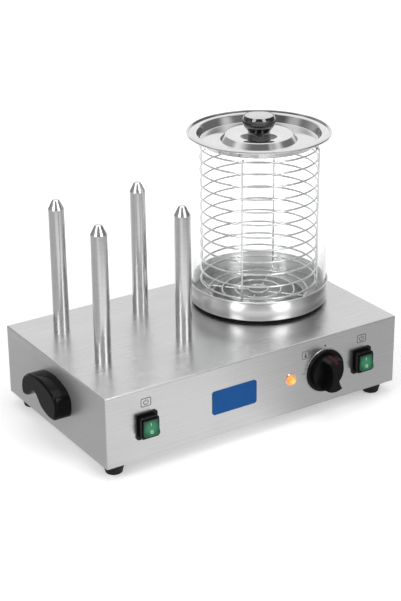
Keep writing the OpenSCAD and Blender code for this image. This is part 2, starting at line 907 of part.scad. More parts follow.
module base_gasket() {
    color([0.07, 0.07, 0.07]) at_origin() difference() {
        at_tower() translate([0, 0, casing_h]) difference() {
            cylinder(r = gasket_out_r, h = gasket_h);
            translate([0, 0, -cut]) cylinder(r = gasket_in_r, h = gasket_h + 2 * cut);
        }
        translate([0, 0, casing_h - cut]) tray_screw_layout()
            cylinder(r = tray_screw_r + slip_gap, h = gasket_h + 2 * cut);
    }
}

// Collar round the foot of the glass: a floor, a wall and a rolled upper edge
module collar() {
    roll_z = collar_z + collar_h - collar_roll_r;
    color("silver") at_origin() difference() {
        at_tower() union() {
            rotate_extrude() polygon(sheet_outline(rounded_path([
                [gasket_in_r, collar_z + collar_t / 2],
                [collar_wall_r - collar_t / 2, collar_z + collar_t / 2],
                [collar_wall_r - collar_t / 2, roll_z]
            ], collar_bend_r), collar_t));
            translate([0, 0, roll_z]) wire_ring(collar_r - collar_roll_r, collar_roll_r);
        }
        translate([0, 0, collar_z - cut]) tray_screw_layout()
            cylinder(r = tray_screw_r + slip_gap, h = collar_t + 2 * cut);
    }
}

// Water pan: a wide flange that the glass and the basket stand on, and a bowl
module water_pan() {
    color("gainsboro") at_origin() {
        difference() {
            at_tower() rotate_extrude() polygon(sheet_outline(concat(
                rounded_path([
                    [pan_rim_r, pan_z + pan_t / 2],
                    [bowl_r - pan_t / 2, pan_z + pan_t / 2],
                    [bowl_r - pan_t / 2, bowl_z + 2 * pan_bend_r]
                ], 2 * pan_t),
                rounded_path([
                    [bowl_r - pan_t / 2, bowl_z + 2 * pan_bend_r - cut],
                    [bowl_r - pan_t / 2, bowl_z + pan_t / 2],
                    [0, bowl_z + pan_t / 2]
                ], pan_bend_r)
            ), pan_t));
            translate([0, 0, pan_z - cut]) tray_screw_layout()
                cylinder(r = tray_screw_r + slip_gap, h = pan_t + 2 * cut);
        }
        at_tower() translate([0, 0, bowl_z - heat_plate_t - element_r - clamp_t - 1.5 * clamp_nut_h])
            cylinder(r = stud_r, h = heat_plate_t + element_r + clamp_t + 1.5 * clamp_nut_h + pan_t / 2);
    }
}

module tray_screws() {
    stack = pan_t + collar_t + gasket_h + sheet_t;
    color("gray") at_origin() tray_screw_layout() {
        translate([0, 0, pan_z + pan_t]) mirror([0, 0, 1])
            pan_screw(tray_screw_r, stack + 1.5 * nut_h, tray_head_r, tray_head_h);
        translate([0, 0, casing_h - sheet_t - nut_h]) hex_nut(tray_screw_r, 0.8 * nut_r, nut_h);
    }
}

// Heating plate under the bowl, grooved for the element
module heating_plate() {
    color("lightgray") at_origin() at_tower() translate([0, 0, bowl_z - heat_plate_t])
        difference() {
            cylinder(r = heat_plate_r, h = heat_plate_t);
            wire_ring(element_ring_r, element_r + fit_gap);
            translate([0, 0, -cut]) cylinder(r = stud_r + slip_gap, h = heat_plate_t + 2 * cut);
        }
}

// Sheathed element: a ring with two legs that turn down
module heating_element() {
    color("dimgray") at_origin() at_tower() translate([0, 0, bowl_z - heat_plate_t]) {
        wire_ring(element_ring_r, element_r);
        for (side = [-1, 1]) {
            rotate([0, 0, -90 + side * element_leg_turn])
                translate([element_ring_r, 0, -element_leg_l])
                cylinder(r = 0.8 * element_r, h = element_leg_l);
        }
    }
}

module element_clamp() {
    color("silver") at_origin() at_tower()
        translate([0, 0, bowl_z - heat_plate_t - element_r - clamp_t]) difference() {
            cylinder(r = clamp_r, h = clamp_t);
            translate([0, 0, -cut]) cylinder(r = stud_r + slip_gap, h = clamp_t + 2 * cut);
            for (side = [-1, 1]) {
                rotate([0, 0, -90 + side * element_leg_turn])
                    translate([element_ring_r, 0, -cut])
                    cylinder(r = 0.8 * element_r + slip_gap, h = clamp_t + 2 * cut);
            }
        }
}

module clamp_nut() {
    color("gray") at_origin() at_tower()
        translate([0, 0, bowl_z - heat_plate_t - element_r - clamp_t - clamp_nut_h])
        hex_nut(stud_r, clamp_nut_r, clamp_nut_h);
}

// Cut-out that stops the element when the bowl boils dry
module thermal_cutout() {
    color([0.15, 0.15, 0.15]) at_origin() at_tower() translate([
        0, element_ring_r / 2, bowl_z - heat_plate_t - element_r - clamp_t - cutout_h
    ]) {
        cylinder(r = cutout_r, h = cutout_h);
        translate([0, 0, cutout_h / 2]) cylinder(r = 1.25 * cutout_r, h = 0.1 * cutout_h);
    }
}

module glass_cylinder() {
    color([0.85, 0.95, 1, 0.35]) at_origin() at_tower() translate([0, 0, glass_z])
        difference() {
            cylinder(r = glass_r, h = glass_h);
            translate([0, 0, -cut]) cylinder(r = glass_r - glass_t, h = glass_h + 2 * cut);
        }
}

// Rings of the basket, with the top ring nearer to its neighbour than the rest
module basket_rings() {
    color("silver") at_origin() at_tower() {
        for (i = [0 : ring_count - 1]) {
            translate([0, 0, last_ring_z - i * ring_pitch]) wire_ring(ring_mid_r, wire_r);
        }
        translate([0, 0, top_ring_z]) wire_ring(ring_mid_r, wire_r);
    }
}

// An upright of the basket: it runs in from the hub, turns up outside the rings and
// hooks over the top ring
module upright() {
    rise = top_ring_z - floor_wire_z - upright_bend_r;
    translate([hub_r, 0, floor_wire_z]) rotate([0, 90, 0])
        cylinder(r = wire_r, h = upright_r - upright_bend_r - hub_r, $fn = 24);
    translate([upright_r - upright_bend_r, 0, floor_wire_z + upright_bend_r])
        rotate([-90, 0, 0]) rotate_extrude(angle = 90)
        translate([upright_bend_r, 0]) circle(wire_r, $fn = 24);
    translate([upright_r, 0, floor_wire_z + upright_bend_r])
        cylinder(r = wire_r, h = rise, $fn = 24);
    translate([ring_mid_r, 0, top_ring_z]) rotate([90, 0, 0])
        rotate_extrude(angle = hook_turn) translate([2 * wire_r, 0]) circle(wire_r, $fn = 24);
}

module basket_uprights() {
    color("silver") at_origin() at_tower() for (i = [0 : upright_count - 1]) {
        rotate([0, 0, upright_first_turn + i * 360 / upright_count]) upright();
    }
}

// Floor of the basket: rings that lie on the uprights' feet
module basket_floor() {
    outer = upright_r - upright_bend_r - 2 * wire_r;
    color("silver") at_origin() at_tower() translate([0, 0, floor_wire_z + 2 * wire_r])
        for (i = [0 : floor_ring_count - 1]) {
            wire_ring(hub_r + wire_r + (outer - hub_r - wire_r) * i / (floor_ring_count - 1), wire_r);
        }
}

// Lid: one spun sheet with a lip outside the glass, a dished floor and a raised middle
module lid() {
    top_z = lid_z + lid_t / 2;
    color("silver") at_origin() at_tower() rotate_extrude() polygon(sheet_outline(rounded_path([
        [lid_r - lid_t / 2, lid_z - lid_lip_h],
        [lid_r - lid_t / 2, top_z],
        [dish_top_r, top_z],
        [dish_low_r, top_z - dish_depth],
        [hill_low_r, top_z - dish_depth],
        [hill_top_r, plateau_z - lid_t / 2],
        [screw_r + slip_gap, plateau_z - lid_t / 2]
    ], lid_bend_r), lid_t));
}

// Lid knob: a flared foot, a waist and a broad top with a sunk seat for its cap
module lid_knob() {
    color([0.05, 0.05, 0.05]) at_origin() at_tower() translate([0, 0, plateau_z]) difference() {
        rotate_extrude() polygon(concat(
            [[0, 0]],
            rounded_path([
                [0, 0], [lid_knob_base_r, 0], [0.94 * lid_knob_base_r, 0.14 * lid_knob_h],
                [lid_knob_waist_r, 0.44 * lid_knob_h], [lid_knob_r, 0.72 * lid_knob_h],
                [lid_knob_r, 0.93 * lid_knob_h], [lid_cap_r, lid_knob_h], [0, lid_knob_h]
            ], 0.07 * lid_knob_h)
        ));
        translate([0, 0, -cut]) cylinder(r = screw_r, h = 0.5 * lid_knob_h + cut);
        translate([0, 0, lid_knob_h - lid_cap_t]) cylinder(r = lid_cap_r - lid_cap_t, h = cut + lid_cap_t);
    }
}

module lid_knob_cap() {
    color("gainsboro") at_origin() at_tower()
        translate([0, 0, plateau_z + lid_knob_h - lid_cap_t])
        cylinder(r = lid_cap_r - lid_cap_t - nut_gap, h = lid_cap_t);
}

module lid_knob_screw() {
    color("gray") at_origin() at_tower() translate([0, 0, plateau_z - lid_t])
        pan_screw(screw_r - nut_gap, 0.4 * lid_knob_h, screw_head_r, screw_head_h);
}

// Gland for the mains lead: a flange, a tapering cap and a threaded neck
module cable_gland() {
    color([0.1, 0.1, 0.1]) at_origin() on_rear(gland_left, gland_z) difference() {
        union() {
            cylinder(r = gland_r, h = gland_flange_t);
            rotate_extrude() polygon(concat(
                [[0, 0]],
                rounded_path([
                    [0.92 * gland_r, 0], [0.86 * gland_r, 0.7 * gland_out],
                    [0.6 * gland_r, gland_out], [0, gland_out]
                ], 0.1 * gland_r)
            ));
            translate([0, 0, -2.5 * gland_nut_t])
                cylinder(r = gland_neck_r, h = 2.5 * gland_nut_t + cut);
        }
        translate([0, 0, -2.5 * gland_nut_t - cut])
            cylinder(r = gland_bore_r, h = 2.5 * gland_nut_t + gland_out + 2 * cut);
    }
}

module gland_nut() {
    color([0.12, 0.12, 0.12]) at_origin() on_rear(gland_left, gland_z)
        translate([0, 0, -sheet_t - gland_nut_t]) hex_nut(gland_neck_r, gland_nut_r, gland_nut_t);
}

// Terminal block on the bottom plate, below the gland
module terminal_block() {
    way = block_w / block_ways;
    color("white") at_origin()
        translate([2 * flange_w, casing_d - 3 * flange_w - block_d, 0]) difference() {
            cube([block_w, block_d, block_h]);
            for (i = [0 : block_ways - 1]) {
                translate([(i + 0.5) * way, block_d / 2, 0.5 * block_h])
                    cylinder(r = 0.2 * way, h = block_h);
                translate([(i + 0.5) * way, -cut, 0.35 * block_h]) rotate([-90, 0, 0])
                    cylinder(r = 0.16 * way, h = block_d + 2 * cut);
            }
        }
}

casing();
bottom_plate();
bottom_screws();
foot_front_left();
foot_front_right();
foot_rear_left();
foot_rear_right();
foot_screws();
handle_left();
handle_right();
handle_inserts();
handle_screws();
switch_housing_left();
switch_housing_right();
rocker_left();
rocker_right();
switch_terminals();
thermostat_body();
thermostat_screws();
knob_bezel();
thermostat_knob();
thermostat_shaft();
lamp_lens();
lamp_holder();
lamp_nut();
badge();
spike_front_left();
spike_front_right();
spike_rear_left();
spike_rear_right();
spike_nuts();
spike_heaters();
base_gasket();
collar();
water_pan();
tray_screws();
heating_plate();
heating_element();
element_clamp();
clamp_nut();
thermal_cutout();
glass_cylinder();
basket_rings();
basket_uprights();
basket_floor();
lid();
lid_knob();
lid_knob_cap();
lid_knob_screw();
cable_gland();
gland_nut();
terminal_block();
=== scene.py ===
import math

import bmesh
import bpy
from mathutils import Matrix, Vector
from mathutils.geometry import interpolate_bezier


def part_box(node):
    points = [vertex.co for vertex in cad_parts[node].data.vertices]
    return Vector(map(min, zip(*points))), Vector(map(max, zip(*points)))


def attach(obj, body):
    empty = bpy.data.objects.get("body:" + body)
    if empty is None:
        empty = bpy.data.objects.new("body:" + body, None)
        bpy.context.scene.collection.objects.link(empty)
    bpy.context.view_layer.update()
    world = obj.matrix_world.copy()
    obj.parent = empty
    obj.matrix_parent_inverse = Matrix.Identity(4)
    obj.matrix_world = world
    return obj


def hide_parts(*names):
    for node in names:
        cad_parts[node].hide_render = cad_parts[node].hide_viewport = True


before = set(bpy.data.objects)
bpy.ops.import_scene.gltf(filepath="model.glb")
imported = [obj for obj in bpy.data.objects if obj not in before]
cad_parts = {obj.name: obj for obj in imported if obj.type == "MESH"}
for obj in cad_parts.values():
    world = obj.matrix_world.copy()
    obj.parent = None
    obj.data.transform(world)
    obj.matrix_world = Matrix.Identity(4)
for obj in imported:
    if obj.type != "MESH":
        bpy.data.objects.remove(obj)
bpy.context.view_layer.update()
print("frame loaded")


# Helpers for shaders

class Wire:  # a node's output that can stand in a sum
    def __init__(self, board, socket):
        self.board = board
        self.socket = socket

    def __add__(self, other):
        return self.board.maths("ADD", self, other)

    __radd__ = __add__

    def __mul__(self, other):
        return self.board.maths("MULTIPLY", self, other)

    __rmul__ = __mul__

    def __sub__(self, other):
        return self.board.maths("SUBTRACT", self, other)

    def __rsub__(self, other):
        return self.board.maths("SUBTRACT", other, self)

    def __truediv__(self, other):
        return self.board.maths("DIVIDE", self, other)

    def __pow__(self, other):
        return self.board.maths("POWER", self, other)


class Board:  # the nodes of one material, or of the world
    def __init__(self, tree):
        self.tree = tree

    def node(self, kind, settings=None, sockets=None, out=0):
        made = self.tree.nodes.new("ShaderNode" + kind)
        for name, value in (settings or {}).items():
            setattr(made, name, value)
        for name, value in (sockets or {}).items():
            self.feed(made.inputs[name], value)
        return Wire(self, made.outputs[out])

    def feed(self, socket, value):
        if isinstance(value, Wire):
            self.tree.links.new(value.socket, socket)
        else:
            socket.default_value = value

    def maths(self, operation, *values):
        return self.node("Math", {"operation": operation}, dict(enumerate(values)))

    def vectors(self, operation, *values, out="Value"):
        return self.node("VectorMath", {"operation": operation}, dict(enumerate(values)), out)

    def blend(self, share, first, second):  # a share of the first and the rest of the second
        return share * first + (1 - share) * second

    def tint(self, factor, low, high):  # from colour low to colour high
        sockets = {0: factor, 6: low, 7: high}  # the factor and the node's two colour sockets
        return self.node("Mix", {"data_type": "RGBA"}, sockets, out=2)

    def where(self, size, centre=(0, 0, 0)):  # object coordinates in steps of one or three sizes
        steps = size if isinstance(size, tuple) else (size,) * 3
        place = self.node("TexCoord", out="Object")
        sockets = {"Vector": place, "Location": centre, "Scale": steps}
        return self.node("Mapping", {"vector_type": "TEXTURE"}, sockets)

    def split(self, vector):
        return [self.node("SeparateXYZ", sockets={0: vector}, out=i) for i in range(3)]

    def noise(self, size, detail=2.0, roughness=0.5):  # grains of that size, or along a vector
        place = size if isinstance(size, Wire) else self.where(size)
        sockets = {"Vector": place, "Scale": 1.0, "Detail": detail, "Roughness": roughness}
        return self.node("TexNoise", sockets=sockets)

    def ease(self, value, start, end, low=0.0, high=1.0):  # smooth step between two levels
        names = ("Value", "From Min", "From Max", "To Min", "To Max")
        sockets = dict(zip(names, (value, start, end, low, high)))
        return self.node("MapRange", {"interpolation_type": "SMOOTHSTEP"}, sockets)

    def bump(self, height, depth, strength=1.0):  # depth in metres for a height of 1
        sockets = {"Height": height, "Distance": depth, "Strength": strength}
        return self.node("Bump", sockets=sockets)


class Finish(Board):  # a material whose shader takes its fixed values first
    def __init__(self, name, fixed):
        self.material = bpy.data.materials.new(name)
        self.material.use_nodes = True
        super().__init__(self.material.node_tree)
        self.shader = self.tree.nodes["Principled BSDF"]
        self.set(fixed)

    def set(self, values):
        for name, value in values.items():
            self.feed(self.shader.inputs[name], value)


def grey(level):
    return (level, level, level, 1)


def opaque(colour, scale=1.0, lift=0.0):
    return (*(min(1.0, scale * level + lift) for level in colour), 1)


finishes = {}


# Metals

casingSteel = {  # sizes of grain, bands and clouds, and how much each adds to the tone
    "dark": 0.585, "light": 0.655, "tones": (0.35, 0.65), "shares": (0.5, 0.2, 0.3),
    "grainLength": 0.06, "grainWidth": 0.00035, "grainDepth": 0.000004, "grainRough": 0.08,
    "bandLength": 0.36, "bandWidth": 0.004, "cloud": 0.09, "smudged": (0.5, 0.75),
    "smudgeRough": 0.05, "rough": 0.26, "endFacing": 0.7, "endRough": 0.12, "endMatte": 0.20,
}


def brushedSteel(name, look):  # brushed along the front, and from front to rear on the two ends
    steel = Finish(name, {})
    facing = steel.maths("ABSOLUTE", steel.split(steel.node("NewGeometry", out="Normal"))[0])
    end = steel.maths("GREATER_THAN", facing, look["endFacing"])

    def streaks(width, length, detail):
        across = steel.noise((length, width, width), detail)
        along = steel.noise((width, length, width), detail)
        return across * (1 - end) + along * end

    grain = streaks(look["grainWidth"], look["grainLength"], detail=3.0)
    bands = streaks(look["bandWidth"], look["bandLength"], detail=2.0)
    clouds = steel.noise(look["cloud"], detail=3.0)
    grainShare, bandShare, cloudShare = look["shares"]
    tone = grainShare * grain + bandShare * bands + cloudShare * clouds
    smudges = steel.ease(clouds, *look["smudged"])
    rough = look["rough"] + look["endRough"] * end + look["grainRough"] * (grain - 0.5)
    steel.set({
        "Base Color": steel.tint(steel.ease(tone, *look["tones"]),
                                 grey(look["dark"]), grey(look["light"])),
        "Metallic": 1 - look["endMatte"] * end,
        "Roughness": rough + look["smudgeRough"] * smudges,
        "Normal": steel.bump(grain, look["grainDepth"], strength=0.6),
    })
    return steel


finishes["casingSteel"] = brushedSteel("casingSteel", casingSteel)

spunMetals = {  # shade, roughness, the streaks' strength, width and depth, and how far they smear
    "polishedLid": {"shade": 0.77, "rough": 0.05, "streak": 0.03,
                    "fine": 0.0012, "depth": 0.0000015, "smear": 0.0},
    "collarSatin": {"shade": 0.81, "rough": 0.30, "streak": 0.10,
                    "fine": 0.0006, "depth": 0.000006, "smear": 0.8},
    "panSteel": {"shade": 0.66, "rough": 0.30, "streak": 0.10,
                 "fine": 0.0008, "depth": 0.000006, "smear": 0.5},
    "castPlate": {"shade": 0.55, "rough": 0.48, "streak": 0.08,
                  "fine": 0.0012, "depth": 0.00002, "smear": 0.0},
    "capMetal": {"shade": 0.66, "rough": 0.16, "streak": 0.08,
                 "fine": 0.0008, "depth": 0.000003, "smear": 0.0},
}
spinMarks = {"swirl": 1.6, "cloud": 0.03, "cloudRough": 0.03, "streakShare": 0.7,
             "tones": (0.3, 0.7), "dark": 0.94, "light": 1.03}
towerLow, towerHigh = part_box("glass_cylinder")
towerAxis = ((towerLow[0] + towerHigh[0]) / 2, (towerLow[1] + towerHigh[1]) / 2, 0.0)


def spunMetal(name, look):  # fine rings round the tower's axis, with clouds over them
    metal = Finish(name, {"Metallic": 1.0, "Anisotropic": look["smear"],
                          "Anisotropic Rotation": 0.25})
    x, y, z = metal.split(metal.where(1, towerAxis))
    radius = (x * x + y * y) ** 0.5
    turn = metal.node("CombineXYZ", sockets={
        "X": spinMarks["swirl"] * x / radius,
        "Y": spinMarks["swirl"] * y / radius,
        "Z": (radius + z) / look["fine"],
    })
    streak = metal.noise(turn, detail=3.0, roughness=0.6)
    clouds = metal.noise(spinMarks["cloud"], detail=3.0)
    tone = metal.ease(metal.blend(spinMarks["streakShare"], streak, clouds), *spinMarks["tones"])
    rough = look["rough"] + look["streak"] * (streak - 0.4)
    metal.set({
        "Base Color": metal.tint(tone, grey(spinMarks["dark"] * look["shade"]),
                                 grey(spinMarks["light"] * look["shade"])),
        "Roughness": rough + spinMarks["cloudRough"] * clouds,
        "Normal": metal.bump(streak, look["depth"], strength=0.5),
    })
    return metal


for name, look in spunMetals.items():
    finishes[name] = spunMetal(name, look)

turnedRod = {  # turned rings, and rub marks along the rod
    "dark": 0.6808, "light": 0.777, "tones": (0.3, 0.7), "rough": 0.22,
    "ring": (0.08, 0.08, 0.0007), "ringRough": 0.10, "ringDepth": 0.00001,
    "rub": (0.004, 0.004, 0.05), "rubRough": 0.08,
}


def turnedAluminium(name, look):
    rod = Finish(name, {"Metallic": 1.0})
    rings = rod.noise(look["ring"], detail=2.0)
    rub = rod.noise(look["rub"], detail=3.0)
    rough = look["rough"] + look["ringRough"] * (rings - 0.5) + look["rubRough"] * (rub - 0.4)
    rod.set({
        "Base Color": rod.tint(rod.ease(rod.blend(0.5, rings, rub), *look["tones"]),
                               grey(look["dark"]), grey(look["light"])),
        "Roughness": rough,
        "Normal": rod.bump(rings, look["ringDepth"], strength=0.5),
    })
    return rod


finishes["turnedRod"] = turnedAluminium("turnedRod", turnedRod)

smallMetals = {  # screws, nuts, trim and wire: two colours, roughness and size of the specks
    "zincSteel": {"dark": (0.42, 0.42, 0.43), "light": (0.62, 0.62, 0.63),
                  "rough": 0.34, "speck": 0.0012},
    "brassMetal": {"dark": (0.55, 0.38, 0.14), "light": (0.78, 0.58, 0.26),
                   "rough": 0.30, "speck": 0.0015},
    "brightTrim": {"dark": (0.68, 0.68, 0.69), "light": (0.80, 0.80, 0.81),
                   "rough": 0.16, "speck": 0.002},
    "satinTrim": {"dark": (0.50, 0.50, 0.50), "light": (0.60, 0.60, 0.60),
                  "rough": 0.30, "speck": 0.001},
    "brightWire": {"dark": (0.70, 0.70, 0.71), "light": (0.84, 0.84, 0.85),
                   "rough": 0.17, "speck": 0.003},
    "sheathMetal": {"dark": (0.16, 0.15, 0.14), "light": (0.30, 0.28, 0.26),
                    "rough": 0.50, "speck": 0.003},
}
smallMarks = {"wearPerSpeck": 8, "tones": (0.35, 0.65), "speckRough": 0.12, "wearRough": 0.08,
              "depth": 0.000008}


def smallMetal(name, look):
    metal = Finish(name, {"Metallic": 1.0})
    speck = metal.noise(look["speck"], detail=3.0, roughness=0.6)
    wear = metal.noise(smallMarks["wearPerSpeck"] * look["speck"], detail=2.0)
    tone = metal.ease(metal.blend(0.5, speck, wear), *smallMarks["tones"])
    rough = look["rough"] + smallMarks["speckRough"] * (speck - 0.5)
    metal.set({
        "Base Color": metal.tint(tone, opaque(look["dark"]), opaque(look["light"])),
        "Roughness": rough + smallMarks["wearRough"] * (wear - 0.5),
        "Normal": metal.bump(speck, smallMarks["depth"], strength=0.4),
    })
    return metal


for name, look in smallMetals.items():
    finishes[name] = smallMetal(name, look)

zincSheet = {"crystal": 0.009, "crystalShare": 0.6, "crystalRough": 0.14, "depth": 0.00001,
             "stain": 0.05, "dark": 0.46, "light": 0.62, "rough": 0.42}


def spangledSheet(name, look):  # zinc crystals of a galvanised plate
    sheet = Finish(name, {"Metallic": 1.0})
    sockets = {"Vector": sheet.where(look["crystal"]), "Scale": 1.0}
    crystals = sheet.node("TexVoronoi", {"feature": "F1"}, sockets, out="Color")
    shade = sheet.split(crystals)[0]
    stain = sheet.noise(look["stain"], detail=3.0)
    sheet.set({
        "Base Color": sheet.tint(sheet.blend(look["crystalShare"], shade, stain),
                                 grey(look["dark"]), grey(look["light"])),
        "Roughness": look["rough"] + look["crystalRough"] * (shade - 0.5),
        "Normal": sheet.bump(shade, look["depth"], strength=0.3),
    })
    return sheet


finishes["zincSheet"] = spangledSheet("zincSheet", zincSheet)
print("metals mixed")


# Plastics, rubber and glass

moulded = {  # colour, roughness, spark-eroded grain and its depth, gloss coat and shine
    "feetRubber": {"colour": (0.016, 0.016, 0.016), "rough": 0.62,
                   "grain": 0.0009, "depth": 0.00004, "coat": 0.0, "shine": 0.2},
    "gasketRubber": {"colour": (0.010, 0.010, 0.010), "rough": 0.55,
                     "grain": 0.0012, "depth": 0.00003, "coat": 0.0, "shine": 0.12},
    "switchBlack": {"colour": (0.004, 0.004, 0.004), "rough": 0.30,
                    "grain": 0.0007, "depth": 0.00001, "coat": 0.15, "shine": 0.16},
    "knobBlack": {"colour": (0.004, 0.004, 0.004), "rough": 0.34,
                  "grain": 0.0006, "depth": 0.000015, "coat": 0.08, "shine": 0.10},
    "glandBlack": {"colour": (0.016, 0.016, 0.017), "rough": 0.45,
                   "grain": 0.0008, "depth": 0.00002, "coat": 0.0, "shine": 0.3},
    "lidKnobGloss": {"colour": (0.002, 0.002, 0.002), "rough": 0.07, "coatIndex": 1.8,
                     "grain": 0.004, "depth": 0.000004, "coat": 1.0, "shine": 0.5},
    "whitePlastic": {"colour": (0.72, 0.71, 0.67), "rough": 0.42,
                     "grain": 0.001, "depth": 0.00001, "coat": 0.0, "shine": 0.4},
}
mouldMarks = {"haze": 0.02, "hazeRough": 0.10, "grainRough": 0.06, "dark": 0.75, "light": 1.35}


def mouldedPlastic(name, look):
    plastic = Finish(name, {"Coat Weight": look["coat"], "Coat Roughness": 0.05,
                            "Coat IOR": look.get("coatIndex", 1.5),
                            "Specular IOR Level": look["shine"]})
    grain = plastic.noise(look["grain"], detail=2.0)
    haze = plastic.noise(mouldMarks["haze"], detail=3.0)
    rough = look["rough"] + mouldMarks["hazeRough"] * (haze - 0.5)
    plastic.set({
        "Base Color": plastic.tint(plastic.blend(0.5, grain, haze),
                                   opaque(look["colour"], mouldMarks["dark"]),
                                   opaque(look["colour"], mouldMarks["light"])),
        "Roughness": rough + mouldMarks["grainRough"] * (grain - 0.5),
        "Normal": plastic.bump(grain, look["depth"], strength=0.5),
    })
    return plastic


for name, look in moulded.items():
    finishes[name] = mouldedPlastic(name, look)

pointer = {"red": (0.060, 0.007, 0.010, 1), "width": 0.0056, "low": 0.0195, "start": 0.0075}


def addPointer(knob):  # a red mark set in the knob's colour along the top of the bar and over its end
    low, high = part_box("thermostat_knob")
    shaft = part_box("thermostat_shaft")
    centre = ((low[0] + high[0]) / 2, high[1], (shaft[0][2] + shaft[1][2]) / 2)
    x, y, z = knob.split(knob.where(1, centre))
    inside = (knob.maths("LESS_THAN", knob.maths("ABSOLUTE", x), pointer["width"] / 2)
              * knob.maths("GREATER_THAN", z, pointer["low"])
              * knob.maths("LESS_THAN", y, -pointer["start"]))
    plain = Wire(knob, knob.shader.inputs["Base Color"].links[0].from_socket)
    knob.set({"Base Color": knob.tint(inside, plain, pointer["red"])})


addPointer(finishes["knobBlack"])

gripLook = {  # a glossy edge and a finely textured flat face, the face's lighter colour a painted sheen
    "edge": (0.002, 0.002, 0.002), "face": (0.010, 0.010, 0.010), "faceFrom": (0.93, 0.995),
    "edgeRough": 0.15, "faceRough": 0.44, "haze": 0.015, "hazeRough": 0.08,
    "grain": 0.0007, "depth": 0.00003, "edgeGrain": 0.2, "shine": 0.13,
}


def gripPlastic(name, look):
    grip = Finish(name, {"Specular IOR Level": look["shine"]})
    outward = grip.maths("ABSOLUTE", grip.split(grip.node("NewGeometry", out="Normal"))[0])
    flat = grip.ease(outward, *look["faceFrom"])
    grain = grip.noise(look["grain"], detail=2.0)
    haze = grip.noise(look["haze"], detail=3.0)
    rough = look["edgeRough"] + (look["faceRough"] - look["edgeRough"]) * flat
    relief = grain * (look["edgeGrain"] + (1 - look["edgeGrain"]) * flat)
    grip.set({
        # the flat face gets a lighter colour as a painted sheen; its texture is real, in roughness
        # and bump
        "Base Color": grip.tint(flat, opaque(look["edge"]), opaque(look["face"])),
        "Roughness": rough + look["hazeRough"] * (haze - 0.5),
        "Normal": grip.bump(relief, look["depth"], strength=0.5),
    })
    return grip


finishes["gripPlastic"] = gripPlastic("gripPlastic", gripLook)

rockerLook = {  # painted shade colour at the edges and painted light colour over the middle, a painted glow, the reach of the painted light, and ripple
    "deep": (0.006, 0.075, 0.035, 1), "lit": (0.025, 0.20, 0.095, 1),
    "glow": (0.004, 0.045, 0.018, 1), "paintedLightReach": (0.25, 1.15),
    "ripple": 0.0016, "depth": 0.00001, "steady": 0.7, "rippled": 0.6,
}


def rockerGreen(name, look):  # tinted clear plastic, painted lighter over the middle and darker towards the edges, with a painted glow
    green = Finish(name, {"Roughness": 0.22, "Coat Weight": 0.25, "Coat Roughness": 0.06,
                          "Specular IOR Level": 0.35, "Emission Strength": 1.0})
    low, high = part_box("rocker_left")
    half = (high[0] - low[0]) / 2
    x, _, z = green.split(green.where(1, (0, 0, (low[2] + high[2]) / 2)))
    across = (green.maths("ABSOLUTE", x) - abs(low[0] + high[0]) / 2) / half
    rise = green.maths("ABSOLUTE", z) / half
    away = (across * across + rise * rise) ** 0.5
    # painted light over the middle of the rocker, falling to painted shade at its edges
    light = green.ease(away, *look["paintedLightReach"], 1.0, 0.0)
    ripple = green.noise(look["ripple"], detail=2.0)
    depth = light * (look["steady"] + look["rippled"] * ripple)
    # Base Color carries the painted light and shade, Emission Color the painted glow
    green.set({
        "Base Color": green.tint(depth, look["deep"], look["lit"]),
        "Emission Color": green.tint(light, grey(0.0), look["glow"]),
        "Normal": green.bump(ripple, look["depth"], strength=0.3),
    })
    return green


finishes["rockerGreen"] = rockerGreen("rockerGreen", rockerLook)

lampLook = {  # colours, facets, and shares of the radius where rays start and the core ends
    "core": (1.0, 0.72, 0.22, 1), "rim": (0.85, 0.16, 0.010, 1), "body": (0.85, 0.22, 0.02, 1),
    "facets": 16, "facetDepth": 0.0002, "rayFrom": (0.15, 0.6), "rayLevel": 0.12,
    "coreTo": (0.1, 0.85), "coreSteady": 0.75,
}


def amberLens(name, look):  # a glowing lens with facets round a bright core
    amber = Finish(name, {"Roughness": 0.12, "Coat Weight": 1.0, "Emission Strength": 1.0})
    low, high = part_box("lamp_lens")
    centre = ((low[0] + high[0]) / 2, 0, (low[2] + high[2]) / 2)
    x, _, z = amber.split(amber.where(1, centre))
    radius = (x * x + z * z) ** 0.5 / ((high[0] - low[0]) / 2)
    facet = 0.5 + 0.5 * amber.maths("COSINE", look["facets"] * amber.maths("ARCTAN2", z, x))
    ray = facet * amber.ease(radius, *look["rayFrom"])
    core = amber.ease(radius, *look["coreTo"], 1.0, 0.0)
    glow = core * (look["coreSteady"] + (1 - look["coreSteady"]) * ray) + look["rayLevel"] * ray
    amber.set({
        "Base Color": look["body"],
        "Emission Color": amber.tint(glow, look["rim"], look["core"]),
        "Normal": amber.bump(facet, look["facetDepth"], strength=0.35),
    })
    return amber


finishes["amberLens"] = amberLens("amberLens", lampLook)

plateLook = {"dark": (0.006, 0.075, 0.27, 1), "light": (0.009, 0.098, 0.33, 1), "cloud": 0.03,
             "peel": 0.0022, "peelRough": 0.08, "depth": 0.00002, "rough": 0.26}


def bluePlate(name, look):  # a bare enamelled plate
    blue = Finish(name, {"Specular IOR Level": 0.12})
    peel = blue.noise(look["peel"], detail=2.0)
    clouds = blue.noise(look["cloud"], detail=2.0)
    blue.set({
        "Base Color": blue.tint(clouds, look["dark"], look["light"]),
        "Roughness": look["rough"] + look["peelRough"] * (peel - 0.5),
        "Normal": blue.bump(peel, look["depth"], strength=0.3),
    })
    return blue


finishes["bluePlate"] = bluePlate("bluePlate", plateLook)

glassLook = {"tint": (0.984, 0.990, 0.989, 1), "index": 1.47, "film": (0.02, 0.02, 0.08),
             "filmFrom": (0.55, 0.8), "filmRough": 0.035}


